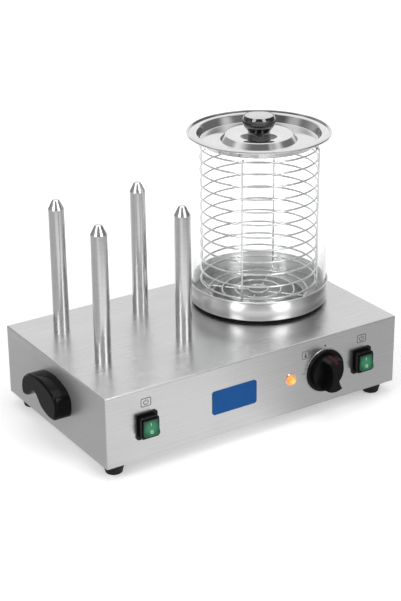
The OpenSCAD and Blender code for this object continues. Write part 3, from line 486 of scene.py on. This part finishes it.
def clearGlass(name, look):  # clear to the lamps' light, so that it throws no dark shadow
    glass = Finish(name, {"Base Color": look["tint"], "IOR": look["index"],
                          "Transmission Weight": 1.0})
    film = glass.noise(look["film"], detail=3.0)
    glass.set({"Roughness": glass.ease(film, *look["filmFrom"], 0.0, look["filmRough"])})
    clear = glass.node("BsdfTransparent", sockets={"Color": look["tint"]})
    lampRay = glass.node("LightPath", out="Is Shadow Ray")
    shader = Wire(glass, glass.shader.outputs[0])
    both = glass.node("MixShader", sockets={0: lampRay, 1: shader, 2: clear})
    glass.feed(glass.tree.nodes["Material Output"].inputs["Surface"], both)
    return glass


finishes["clearGlass"] = clearGlass("clearGlass", glassLook)

inks = {"panelInk": (0.05, 0.05, 0.055), "rockerInk": (0.62, 0.80, 0.68)}
inkMarks = {"patch": 0.0006, "depth": 0.00001, "scale": 1.5, "lift": 0.02}


def printedInk(name, colour):  # screen-printed, a little uneven
    ink = Finish(name, {"Roughness": 0.55})
    patch = ink.noise(inkMarks["patch"], detail=2.0)
    ink.set({
        "Base Color": ink.tint(patch, opaque(colour),
                               opaque(colour, inkMarks["scale"], inkMarks["lift"])),
        "Normal": ink.bump(patch, inkMarks["depth"], strength=0.3),
    })
    return ink


for name, colour in inks.items():
    finishes[name] = printedInk(name, colour)
print("plastics, glass and inks mixed")


# What each CAD node wears

nodeFinish = {
    "casing": "casingSteel", "bottom_plate": "zincSheet",
    "bottom_screws": "zincSteel", "foot_screws": "zincSteel", "handle_screws": "zincSteel",
    "thermostat_screws": "zincSteel", "spike_nuts": "zincSteel", "tray_screws": "zincSteel",
    "clamp_nut": "zincSteel", "lid_knob_screw": "zincSteel",
    "foot_front_left": "feetRubber", "foot_front_right": "feetRubber",
    "foot_rear_left": "feetRubber", "foot_rear_right": "feetRubber",
    "handle_left": "gripPlastic", "handle_right": "gripPlastic",
    "handle_inserts": "brassMetal", "switch_terminals": "brassMetal",
    "switch_housing_left": "switchBlack", "switch_housing_right": "switchBlack",
    "rocker_left": "rockerGreen", "rocker_right": "rockerGreen",
    "thermostat_body": "zincSteel", "thermostat_shaft": "zincSteel",
    "knob_bezel": "satinTrim", "lamp_holder": "brightTrim", "thermostat_knob": "knobBlack",
    "lamp_lens": "amberLens", "lamp_nut": "whitePlastic", "terminal_block": "whitePlastic",
    "badge": "bluePlate",
    "spike_front_left": "turnedRod", "spike_front_right": "turnedRod",
    "spike_rear_left": "turnedRod", "spike_rear_right": "turnedRod",
    "spike_heaters": "sheathMetal", "heating_element": "sheathMetal",
    "base_gasket": "gasketRubber", "thermal_cutout": "switchBlack",
    "collar": "collarSatin", "water_pan": "panSteel", "heating_plate": "castPlate",
    "element_clamp": "zincSheet",
    "glass_cylinder": "clearGlass",
    "basket_rings": "brightWire", "basket_uprights": "brightWire", "basket_floor": "brightWire",
    "lid": "polishedLid", "lid_knob": "lidKnobGloss", "lid_knob_cap": "capMetal",
    "cable_gland": "glandBlack", "gland_nut": "glandBlack",
}

for name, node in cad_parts.items():
    material = finishes[nodeFinish[name]].material
    if not node.data.materials:
        node.data.materials.append(material)
    for holder in node.material_slots:
        holder.material = material
print("nodes dressed:", len(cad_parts))


# Pieces that the frame doesn't hold

segments = {  # how finely round forms are cut
    "corner": 5, "arc": 28, "disc": 24, "spin": 144, "knobSpin": 96, "wire": 16,
    "bend": 5, "knobBend": 7, "smallBend": 3, "gripBend": 6,
}


def addPiece(name, work, finish, body, crease=None):  # edges over crease stay sharp
    bmesh.ops.recalc_face_normals(work, faces=work.faces)
    mesh = bpy.data.meshes.new(name)
    work.to_mesh(mesh)
    work.free()
    if crease:
        mesh.shade_smooth()
        mesh.set_sharp_from_angle(angle=math.radians(crease))
    piece = bpy.data.objects.new(name, mesh)
    bpy.context.scene.collection.objects.link(piece)
    mesh.materials.append(finishes[finish].material)
    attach(piece, body)
    return piece


def flatBar(work, width, height, centre=(0, 0), corner=0.0):
    made = bmesh.ops.create_grid(work, x_segments=1, y_segments=1, size=0.5)["verts"]
    bmesh.ops.scale(work, vec=(width, height, 1), verts=made)
    bmesh.ops.translate(work, vec=(*centre, 0), verts=made)
    if corner:
        bmesh.ops.bevel(work, geom=made, offset=corner, segments=segments["corner"],
                        profile=0.5, affect="VERTICES", material=-1)


def flatFrame(work, width, height, corner, line):  # the outline of a rounded rectangle
    before = set(work.faces)
    flatBar(work, width, height, corner=corner)
    inside = [face for face in work.faces if face not in before]
    bmesh.ops.inset_region(work, faces=inside, thickness=line, use_boundary=True,
                           use_even_offset=True)
    bmesh.ops.delete(work, geom=inside, context="FACES")


def flatArc(work, radius, line, start=0.0, sweep=math.tau):  # a strip, or a closed ring
    ends = [Vector((radius + side * line / 2, 0, 0)) for side in (-1, 1)]
    verts = [work.verts.new(Matrix.Rotation(start, 3, "Z") @ end) for end in ends]
    edge = work.edges.new(verts)
    bmesh.ops.spin(work, geom=verts + [edge], cent=(0, 0, 0), axis=(0, 0, 1), angle=sweep,
                   steps=segments["arc"], use_merge=sweep == math.tau)


def flatDisc(work, radius, centre=(0, 0)):
    made = bmesh.ops.create_circle(work, cap_ends=True, segments=segments["disc"],
                                   radius=radius)["verts"]
    bmesh.ops.translate(work, vec=(*centre, 0), verts=made)


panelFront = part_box("casing")[0][1]
inkLayer = {"thick": 0.00006, "proud": 0.00004}  # proud is the part before the surface


def raiseInk(work, place):  # gives flat marks a thickness and puts them in place
    bmesh.ops.solidify(work, geom=work.faces[:], thickness=-inkLayer["thick"])
    bmesh.ops.transform(work, matrix=place, verts=work.verts)


def onPanel(x, z, out=inkLayer["proud"]):  # the XY plane comes to stand before the front panel
    upright = Matrix.Rotation(math.pi / 2, 4, "X")
    return Matrix.Translation((x, panelFront - out, z)) @ upright


def middle(node):
    low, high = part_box(node)
    return [(a + b) / 2 for a, b in zip(low, high)]


powerSign = {  # a frame over the switch, a ring with a gap in degrees, and a bar through it
    "above": 0.0345, "width": 0.0165, "height": 0.0130, "corner": 0.0024, "line": 0.0010,
    "ring": 0.0036, "gap": 70, "bar": 0.0042, "barDown": 0.3,
}


def addPowerSign(name, switch):
    x, _, z = middle(switch)
    line, ring, bar = powerSign["line"], powerSign["ring"], powerSign["bar"]
    gap = math.radians(powerSign["gap"])
    work = bmesh.new()
    flatFrame(work, powerSign["width"], powerSign["height"], powerSign["corner"], line)
    flatArc(work, ring, line, (math.pi + gap) / 2, math.tau - gap)
    flatBar(work, line, bar, (0, ring - powerSign["barDown"] * bar))
    raiseInk(work, onPanel(x, z + powerSign["above"]))
    addPiece(name, work, "panelInk", "base")


addPowerSign("power_sign_left", "switch_housing_left")
addPowerSign("power_sign_right", "switch_housing_right")

heatSign = {  # a thermometer in a frame, at the upper left of the knob
    "left": 0.0354, "above": 0.0336, "size": 0.0128, "corner": 0.0018, "line": 0.0008,
    "stem": 0.0016, "stemTall": 0.0064, "stemUp": 0.0007, "stemRound": 0.4, "bulb": 0.0019,
}
dialMarks = {  # a dot over the knob and a tick on its left
    "dotUp": 0.0395, "dot": 0.0016,
    "tickLeft": 0.0385, "tickUp": 0.004, "tickLength": 0.006, "tickWidth": 0.0008,
}


def addDialMarks():
    x, _, z = middle("thermostat_shaft")
    stem, tall, up = heatSign["stem"], heatSign["stemTall"], heatSign["stemUp"]
    work = bmesh.new()
    flatFrame(work, heatSign["size"], heatSign["size"], heatSign["corner"], heatSign["line"])
    flatBar(work, stem, tall, (0, up), heatSign["stemRound"] * stem)
    flatDisc(work, heatSign["bulb"], (0, up - tall / 2))
    raiseInk(work, onPanel(x - heatSign["left"], z + heatSign["above"]))
    addPiece("heat_sign", work, "panelInk", "base")
    work = bmesh.new()
    flatDisc(work, dialMarks["dot"], (0, dialMarks["dotUp"]))
    flatBar(work, dialMarks["tickLength"], dialMarks["tickWidth"],
            (-dialMarks["tickLeft"], dialMarks["tickUp"]))
    raiseInk(work, onPanel(x, z))
    addPiece("dial_marks", work, "panelInk", "base")


addDialMarks()

rockerForm = {  # the pivot before the panel, then measures from the pivot, and the tilt at rest
    "pivotOut": 0.0105, "valleyOut": 0.0026, "endOut": 0.004, "arm": 0.0114, "tilt": 9.0,
    "corner": 0.003, "deep": 0.0034, "rim": 0.0013, "rimRaise": 0.0003, "edge": 0.0004,
    "outward": 0.8, "sloping": 0.97,  # least Z of a normal on the front, and on its two slopes
    "crease": 40,
}
rockerMarks = {"rise": 0.0056, "bar": 0.0042, "ring": 0.0019, "line": 0.0007}
rockerSlope = math.atan2(rockerForm["endOut"] - rockerForm["valleyOut"], rockerForm["arm"])


def rockerPlace(side):  # the tipped rocker's own frame: X right, Y up, Z outwards, from its pivot
    x, _, z = middle("switch_housing_" + side)
    tilt = Matrix.Rotation(math.radians(-rockerForm["tilt"]), 4, "X")
    return onPanel(x, z, rockerForm["pivotOut"]) @ tilt


def rockerFace(side, half):  # the place of a mark on the upper (1) or lower (-1) half of a rocker
    rise = rockerMarks["rise"]
    out = rockerForm["valleyOut"] + rise * math.tan(rockerSlope) + inkLayer["proud"]
    turn = Matrix.Rotation(half * rockerSlope, 4, "X")
    return rockerPlace(side) @ Matrix.Translation((0, half * rise, out)) @ turn


def addRocker(side):  # a rocker with rounded corners and a raised rim round its two slopes
    form, body = rockerForm, "rocker_" + side
    low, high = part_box(body)
    work = bmesh.new()
    flatBar(work, high[0] - low[0], 2 * form["arm"], corner=form["corner"])
    bmesh.ops.bisect_plane(work, geom=work.verts[:] + work.edges[:] + work.faces[:],
                           plane_co=(0, 0, 0), plane_no=(0, 1, 0))
    for vert in work.verts:
        climb = abs(vert.co.y) * math.tan(rockerSlope)
        vert.co.z = form["valleyOut"] + form["rimRaise"] + climb
    skirt = bmesh.ops.extrude_face_region(work, geom=work.faces[:])["geom"]
    back = [part for part in skirt if isinstance(part, bmesh.types.BMVert)]
    bmesh.ops.translate(work, vec=(0, 0, -form["deep"]), verts=back)
    bmesh.ops.recalc_face_normals(work, faces=work.faces)
    front = [part for part in work.faces if part.normal.z > form["outward"]]
    rim = [edge for edge in work.edges
           if sum(part in front for part in edge.link_faces) == 1]
    bmesh.ops.bevel(work, geom=rim, offset=form["edge"], segments=segments["smallBend"],
                    profile=0.5, affect="EDGES", material=-1)
    sloping = [part for part in work.faces if part.normal.z > form["sloping"]]
    front = sorted(sloping, key=lambda part: part.calc_area())[-2:]
    bmesh.ops.inset_region(work, faces=front, thickness=form["rim"], depth=0,
                           use_even_offset=True)
    bmesh.ops.inset_region(work, faces=front, thickness=form["rimRaise"],
                           depth=-form["rimRaise"], use_even_offset=True)
    bmesh.ops.transform(work, matrix=rockerPlace(side), verts=work.verts)
    piece = addPiece("rocker_cap_" + side, work, "rockerGreen", body,
                     form["crease"])
    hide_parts(body)


def addRockerMark(name, work, side, half):  # the name ends with the side
    raiseInk(work, rockerFace(side, half))
    addPiece(name + side, work, "rockerInk", "rocker_" + side)


for side in ("left", "right"):
    addRocker(side)
    work = bmesh.new()
    flatBar(work, rockerMarks["line"], rockerMarks["bar"])
    addRockerMark("rocker_on_mark_", work, side, 1)
    work = bmesh.new()
    flatArc(work, rockerMarks["ring"], rockerMarks["line"])
    addRockerMark("rocker_off_mark_", work, side, -1)
print("rockers and printed marks made")


# Turned and spun pieces, which stand for their CAD nodes

spinForm = {"join": 0.00001, "near": 0.00005, "crease": 35}  # distances that count as none


def spinRound(work, geom, steps):  # once round, closed where it meets its start
    bmesh.ops.spin(work, geom=geom, cent=(0, 0, 0), axis=(0, 0, 1), angle=math.tau,
                   steps=segments[steps], use_merge=True)


def spinPath(work, path, steps="spin"):  # turns a line of radius and height round the axis
    verts = [work.verts.new((radius, 0, height)) for radius, height in path]
    edges = [work.edges.new(pair) for pair in zip(verts, verts[1:])]
    spinRound(work, verts + edges, steps)
    bmesh.ops.remove_doubles(work, verts=work.verts, dist=spinForm["join"])


def wireRing(work, radius, height, wire):  # a ring of round wire
    made = bmesh.ops.create_circle(work, segments=segments["wire"], radius=wire)["verts"]
    upright = Matrix.Rotation(math.pi / 2, 3, "X")
    bmesh.ops.rotate(work, cent=(0, 0, 0), matrix=upright, verts=made)
    bmesh.ops.translate(work, vec=(radius, 0, height), verts=made)
    edges = list({edge for vert in made for edge in vert.link_edges})
    spinRound(work, made + edges, "spin")


def roundRing(work, radius, height, offset, bend="bend"):  # rounds the ring at a path's corner
    def isNear(vert):
        gaps = abs(vert.co.z - height), abs(vert.co.xy.length - radius)
        return max(gaps) < spinForm["near"]

    ring = [edge for edge in work.edges if all(isNear(vert) for vert in edge.verts)]
    bmesh.ops.bevel(work, geom=ring, offset=offset, segments=segments[bend], profile=0.5,
                    affect="EDGES", material=-1)


def addSpun(name, work, finish, body, node, thick=0.0):  # thick makes a line a sheet
    bmesh.ops.translate(work, vec=towerAxis, verts=work.verts)
    piece = addPiece(name, work, finish, body, spinForm["crease"])
    if thick:
        sheet = piece.modifiers.new("sheet", "SOLIDIFY")
        sheet.thickness, sheet.offset, sheet.use_even_offset = thick, 0.0, True
    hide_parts(node)


lidForm = {  # radii of the sheet's middle line from the rim inwards, its depth and its bends
    "rim": 0.1063, "bead": 0.0018, "dishTop": 0.0930, "dishLow": 0.0885, "hillLow": 0.0569,
    "hillTop": 0.0496, "hole": 0.0042, "overGlass": 0.0008, "depth": 0.0130,
    "sheet": 0.001, "bend": 0.0012, "lipBend": 0.0022,
}
rimHeight = towerHigh[2] + lidForm["overGlass"]
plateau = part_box("lid_knob")[0][2]


def addLid():  # a rolled bead, a dished floor and a raised middle
    form = lidForm
    floor, hill = rimHeight - form["depth"], plateau - form["sheet"] / 2
    path = [(form["rim"], rimHeight), (form["dishTop"], rimHeight), (form["dishLow"], floor),
            (form["hillLow"], floor), (form["hillTop"], hill), (form["hole"], hill)]
    work = bmesh.new()
    spinPath(work, path)
    for corner, bend in zip(path[1:-1], ("lipBend", "bend", "bend", "bend")):
        roundRing(work, *corner, form[bend])
    addSpun("lid_sheet", work, "polishedLid", "lid", "lid", form["sheet"])
    work = bmesh.new()
    wireRing(work, form["rim"], rimHeight, form["bead"])
    addSpun("lid_bead", work, "polishedLid", "lid", "lid")


lidKnobForm = {  # radii from the neck up, with the belly between two shares of the height
    "neck": 0.0166, "neckHeight": 0.0042, "belly": 0.0245, "low": 0.50, "high": 0.84,
    "lowBend": 0.0042, "highBend": 0.0026, "shoulder": 0.0218,
    "seat": 0.0208, "seatDeep": 0.0012, "capGap": 0.0002, "capLow": 0.0001, "capBend": 0.0003,
}


def addLidKnob():  # a bowl on a short neck, with a bright cap sunk in its flat top
    form, top = lidKnobForm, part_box("lid_knob")[1][2]
    tall, seat = top - plateau, top - form["seatDeep"]
    low, high = plateau + form["low"] * tall, plateau + form["high"] * tall
    work = bmesh.new()
    spinPath(work, [
        (0, plateau), (form["neck"], plateau), (form["neck"], plateau + form["neckHeight"]),
        (form["belly"], low), (form["belly"], high), (form["shoulder"], top),
        (form["seat"], top), (form["seat"], seat), (0, seat),
    ], "knobSpin")
    roundRing(work, form["belly"], low, form["lowBend"], "knobBend")
    roundRing(work, form["belly"], high, form["highBend"], "knobBend")
    addSpun("lid_knob_bowl", work, "lidKnobGloss", "lid", "lid_knob")
    edge, face = form["seat"] - form["capGap"], top - form["capLow"]
    work = bmesh.new()
    spinPath(work, [(0, seat), (edge, seat), (edge, face), (0, face)], "knobSpin")
    roundRing(work, edge, face, form["capBend"], "smallBend")
    addSpun("lid_knob_disc", work, "capMetal", "lid", "lid_knob_cap")


collarForm = {  # drop is how far the collar reaches below its CAD node, onto a flatter gasket
    "wall": 0.1052, "inside": 0.085, "sheet": 0.0012, "roll": 0.00125, "bend": 0.003,
    "drop": 0.0025, "gasketBend": 0.0004,
}


def addCollar():  # a floor, a wall and a rolled edge, on its gasket
    form = collarForm
    inside, wall = form["inside"], form["wall"]
    lowest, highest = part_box("collar")
    low, outer = lowest[2] - form["drop"], (highest[0] - lowest[0]) / 2
    floor, roll = low + form["sheet"] / 2, highest[2] - form["roll"]
    work = bmesh.new()
    spinPath(work, [(inside, floor), (wall, floor), (wall, roll)])
    roundRing(work, wall, floor, form["bend"])
    addSpun("collar_sheet", work, "collarSatin", "base", "collar", form["sheet"])
    work = bmesh.new()
    wireRing(work, outer - form["roll"], roll, form["roll"])
    addSpun("collar_roll", work, "collarSatin", "base", "collar")
    lowest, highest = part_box("base_gasket")
    edge, foot = (highest[0] - lowest[0]) / 2, lowest[2]
    work = bmesh.new()
    spinPath(work, [(inside, foot), (edge, foot), (edge, low), (inside, low), (inside, foot)])
    roundRing(work, edge, low, form["gasketBend"], "smallBend")
    addSpun("gasket_ring", work, "gasketRubber", "base", "base_gasket")


addLid()
addLidKnob()
addCollar()
print("lid, knob and collar spun")


# Grips

gripForm = {  # reach along the side from the casing's front, height over the floor, and rounding
    "front": 0.0965, "length": 0.1065, "low": 0.0550, "height": 0.0505, "out": 0.025,
    "edge": 0.0042, "lip": 0.0004, "steps": 5, "crease": 35,
    "outline": (  # points of the outline as shares of its length and height
        (0, 0.43), (0.02, 0.64), (0.10, 0.81), (0.26, 0.94), (0.49, 1), (0.73, 0.93), (0.87, 0.81),
        (0.96, 0.63), (1, 0.38), (0.985, 0.18), (0.94, 0.11), (0.85, 0.155), (0.765, 0.27),
        (0.69, 0.38), (0.63, 0.43), (0.58, 0.41), (0.535, 0.32), (0.45, 0.15), (0.32, 0.04),
        (0.20, 0), (0.09, 0.03), (0.025, 0.18)),
}


def gripOutline():  # a smooth closed line through the outline's points
    form = gripForm
    points = [Vector((form["front"] + u * form["length"], form["low"] + v * form["height"], 0))
              for u, v in form["outline"]]
    line = []
    for i, point in enumerate(points):
        before, after, last = (points[(i + step) % len(points)] for step in (-1, 1, 2))
        handles = point + (after - before) / 6, after - (last - point) / 6
        line += interpolate_bezier(point, *handles, after, form["steps"] + 1)[:-1]
    return line


def addGrip(name, side, wall):
    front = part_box("casing")[0][1]
    work = bmesh.new()
    outline = [(wall, front + point.x, point.y) for point in gripOutline()]
    back = work.faces.new([work.verts.new(place) for place in outline])
    made = bmesh.ops.extrude_face_region(work, geom=[back])["geom"]
    outer = [part for part in made if isinstance(part, bmesh.types.BMVert)]
    bmesh.ops.translate(work, vec=(side * gripForm["out"], 0, 0), verts=outer)
    bmesh.ops.recalc_face_normals(work, faces=work.faces)

    def outermost():
        return max(work.faces, key=lambda part: side * part.calc_center_median().x)

    bmesh.ops.bevel(work, geom=outermost().edges[:], offset=gripForm["edge"],
                    segments=segments["gripBend"], profile=0.5, affect="EDGES", material=-1)
    bmesh.ops.inset_region(work, faces=[outermost()], thickness=gripForm["lip"],
                           use_even_offset=True)
    piece = addPiece("grip_" + name, work, "gripPlastic", "base",
                     gripForm["crease"])
    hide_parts("handle_" + name)


addGrip("left", -1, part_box("casing")[0][0])
addGrip("right", 1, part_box("casing")[1][0])
print("grips made")


# Floor, light and camera

studio = {
    "floorSize": 8.0, "floorShade": 0.80, "plainLevel": 0.55,
    "nearLift": 0.33, "nearEnd": 0.38, "farLift": 1.0, "farStart": 0.9,  # glow near and far off
    "frontDark": (0.55, 0.95, 0.35),  # where the floor before the front dims, and to what
    "sides": (  # dark flags: direction, cosines between which each sets in, and its depth
        ((-0.98, 0.20, 0.0), 0.55, 0.90, 0.50),
        ((0.90, -0.44, 0.0), 0.50, 0.95, 0.45),
    ),
    "high": (  # further flags that hang above the floor
        ((-0.48, 0.84, 0.26), 0.80, 0.94, 0.60),
        ((0.91, -0.24, 0.34), 0.80, 0.94, 0.70),
    ),
    "room": {  # the dim room over the front: its heading, where it sets in, its heights and depth
        "heading": (-0.54, -0.84, 0.0), "facing": (0.0, 0.40), "rise": (0.385, 0.44),
        "fall": (0.93, 0.99), "depth": 0.82,
    },
    "panels": (  # pale panels in that room: direction, cosines of edge and core, level
        ((-0.69, 0.02, 0.72), 0.965, 0.985, 0.56),
        ((0.18, -0.64, 0.745), 0.965, 0.985, 0.60),
    ),
}
softboxes = {  # azimuth and elevation round the machine, distance, size and power
    "softbox_left": {"azimuth": -75, "elevation": 38, "distance": 2.4,
                     "size": (0.9, 1.3), "power": 14},
    "softbox_right": {"azimuth": 10, "elevation": 38, "distance": 2.4,
                      "size": (0.9, 1.3), "power": 13},
    "softbox_top": {"azimuth": -20, "elevation": 84, "distance": 2.3,
                    "size": (1.8, 1.8), "power": 14},
}
softboxAim = Vector((0, 0, 0.15))
cameraView = {  # place from the casing's corner, direction, and focal length in picture heights
    "fromCorner": (-0.8957, -1.6399, 1.0535), "azimuth": -32.62, "elevation": 23.30,
    "roll": -0.56, "focal": 1561.7 / 601, "sensor": 36.0, "clip": (0.05, 50),
}


def raysOf(board):
    kinds = ("Camera", "Transmission", "Glossy")
    return [board.node("LightPath", out=f"Is {kind} Ray") for kind in kinds]


def flagged(board, direction, flags):  # how bright the studio is in a direction
    level = 1.0
    for flag, start, end, depth in flags:
        facing = board.vectors("DOT_PRODUCT", direction, flag)
        level = level * board.ease(facing, start, end, 1.0, 1.0 - depth)
    return level


def dimRoom(board, direction):  # the part of the room over the front, with its two pale panels
    room = studio["room"]
    facing = board.vectors("DOT_PRODUCT", direction, room["heading"])
    height = board.split(direction)[2]
    inside = board.ease(facing, *room["facing"]) * board.ease(height, *room["rise"])
    level = 1 - room["depth"] * inside * board.ease(height, *room["fall"], 1.0, 0.0)
    for panel, edge, core, shine in studio["panels"]:
        near = board.vectors("DOT_PRODUCT", direction, panel)
        level = board.maths("MAXIMUM", level, board.ease(near, edge, core, 0.0, shine))
    return level


def buildWorld():  # white to the camera, with the flags and the dim room in mirrors and glass
    world = bpy.data.worlds.new("studio")
    world.use_nodes = True
    bpy.context.scene.world = world
    board = Board(world.node_tree)
    camera, through, glossy = raysOf(board)
    mirrored = board.maths("MAXIMUM", through, glossy)
    look = board.node("TexCoord", out="Generated")
    flags = flagged(board, look, studio["sides"] + studio["high"])
    level = mirrored * flags * dimRoom(board, look)
    level = camera + (1 - camera) * (level + (1 - mirrored) * studio["plainLevel"])
    light = world.node_tree.nodes["Background"]
    board.feed(light.inputs["Color"], (1, 1, 1, 1))
    board.feed(light.inputs["Strength"], level)


def makeFloor():  # white paper that keeps the soft shadow, and what the metal sees of it
    floor = Finish("floorPaper", {"Roughness": 1.0, "Specular IOR Level": 0.0,
                                  "Emission Strength": 1.0})
    camera, through, glossy = raysOf(floor)
    place = floor.where(1)
    away = floor.vectors("LENGTH", place)
    heading = floor.vectors("NORMALIZE", place, out="Vector")
    lift = floor.ease(away, studio["nearEnd"], studio["farStart"],
                      studio["nearLift"], studio["farLift"])
    start, end, low = studio["frontDark"]
    front = floor.split(place)[1] * -1
    dimmed = flagged(floor, heading, studio["sides"]) * floor.ease(front, start, end, 1.0, low)
    dimmed = camera + (1 - camera) * dimmed
    # Metal mirrors a glow in place of the lit paper, painted darker before the front and towards
    # the dark flags
    mirrored = glossy * (1 - floor.maths("MAXIMUM", camera, through))
    glow = ((1 - mirrored) * lift * (camera + through) + mirrored) * dimmed
    paper = (1 - mirrored) * (1 - through * (1 - dimmed))
    floor.set({
        "Base Color": floor.tint(paper, grey(0.0), grey(studio["floorShade"])),
        "Emission Color": floor.tint(glow, grey(0.0), grey(1.0)),
    })
    work = bmesh.new()
    bmesh.ops.create_grid(work, x_segments=1, y_segments=1, size=studio["floorSize"] / 2)
    mesh = bpy.data.meshes.new("floor")
    work.to_mesh(mesh)
    work.free()
    mesh.materials.append(floor.material)
    piece = bpy.data.objects.new("floor", mesh)
    bpy.context.scene.collection.objects.link(piece)


def outwards(azimuth, elevation):  # from the machine towards a lamp or the camera
    a, e = math.radians(azimuth), math.radians(elevation)
    return Vector((math.sin(a) * math.cos(e), -math.cos(a) * math.cos(e), math.sin(e)))


def hangSoftboxes():  # the lid is kept out of their light, so it mirrors the room alone
    shielded = bpy.data.collections.new("shielded")
    for name in ("lid_sheet", "lid_bead"):
        shielded.objects.link(bpy.data.objects[name])
    for held in shielded.collection_objects:
        held.light_linking.link_state = "EXCLUDE"
    for name, box in softboxes.items():
        back = outwards(box["azimuth"], box["elevation"])
        data = bpy.data.lights.new(name, "AREA")
        data.shape = "RECTANGLE"
        data.size, data.size_y = box["size"]
        data.energy = box["power"]
        lamp = bpy.data.objects.new(name, data)
        lamp.location = softboxAim + back * box["distance"]
        lamp.rotation_euler = back.to_track_quat("Z", "Y").to_euler()
        lamp.visible_camera = False
        lamp.light_linking.receiver_collection = shielded
        bpy.context.scene.collection.objects.link(lamp)


def placeCamera():  # fitted to the photograph's corners and edges of the casing
    back = outwards(cameraView["azimuth"], cameraView["elevation"])
    right = Vector((0, 0, 1)).cross(back).normalized()
    up = back.cross(right)
    roll = Matrix.Rotation(math.radians(cameraView["roll"]), 3, "Z")
    turn = Matrix((right, up, back)).transposed() @ roll
    data = bpy.data.cameras.new("camera")
    data.sensor_width = cameraView["sensor"]
    data.lens = cameraView["focal"] * cameraView["sensor"]
    data.clip_start, data.clip_end = cameraView["clip"]
    camera = bpy.data.objects.new("camera", data)
    place = Vector(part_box("casing")[0]) + Vector(cameraView["fromCorner"])
    camera.matrix_world = Matrix.Translation(place) @ turn.to_4x4()
    bpy.context.scene.collection.objects.link(camera)
    bpy.context.scene.camera = camera


buildWorld()
makeFloor()
hangSoftboxes()
placeCamera()
bpy.context.scene.view_settings.view_transform = "Standard"
print("studio and camera set")
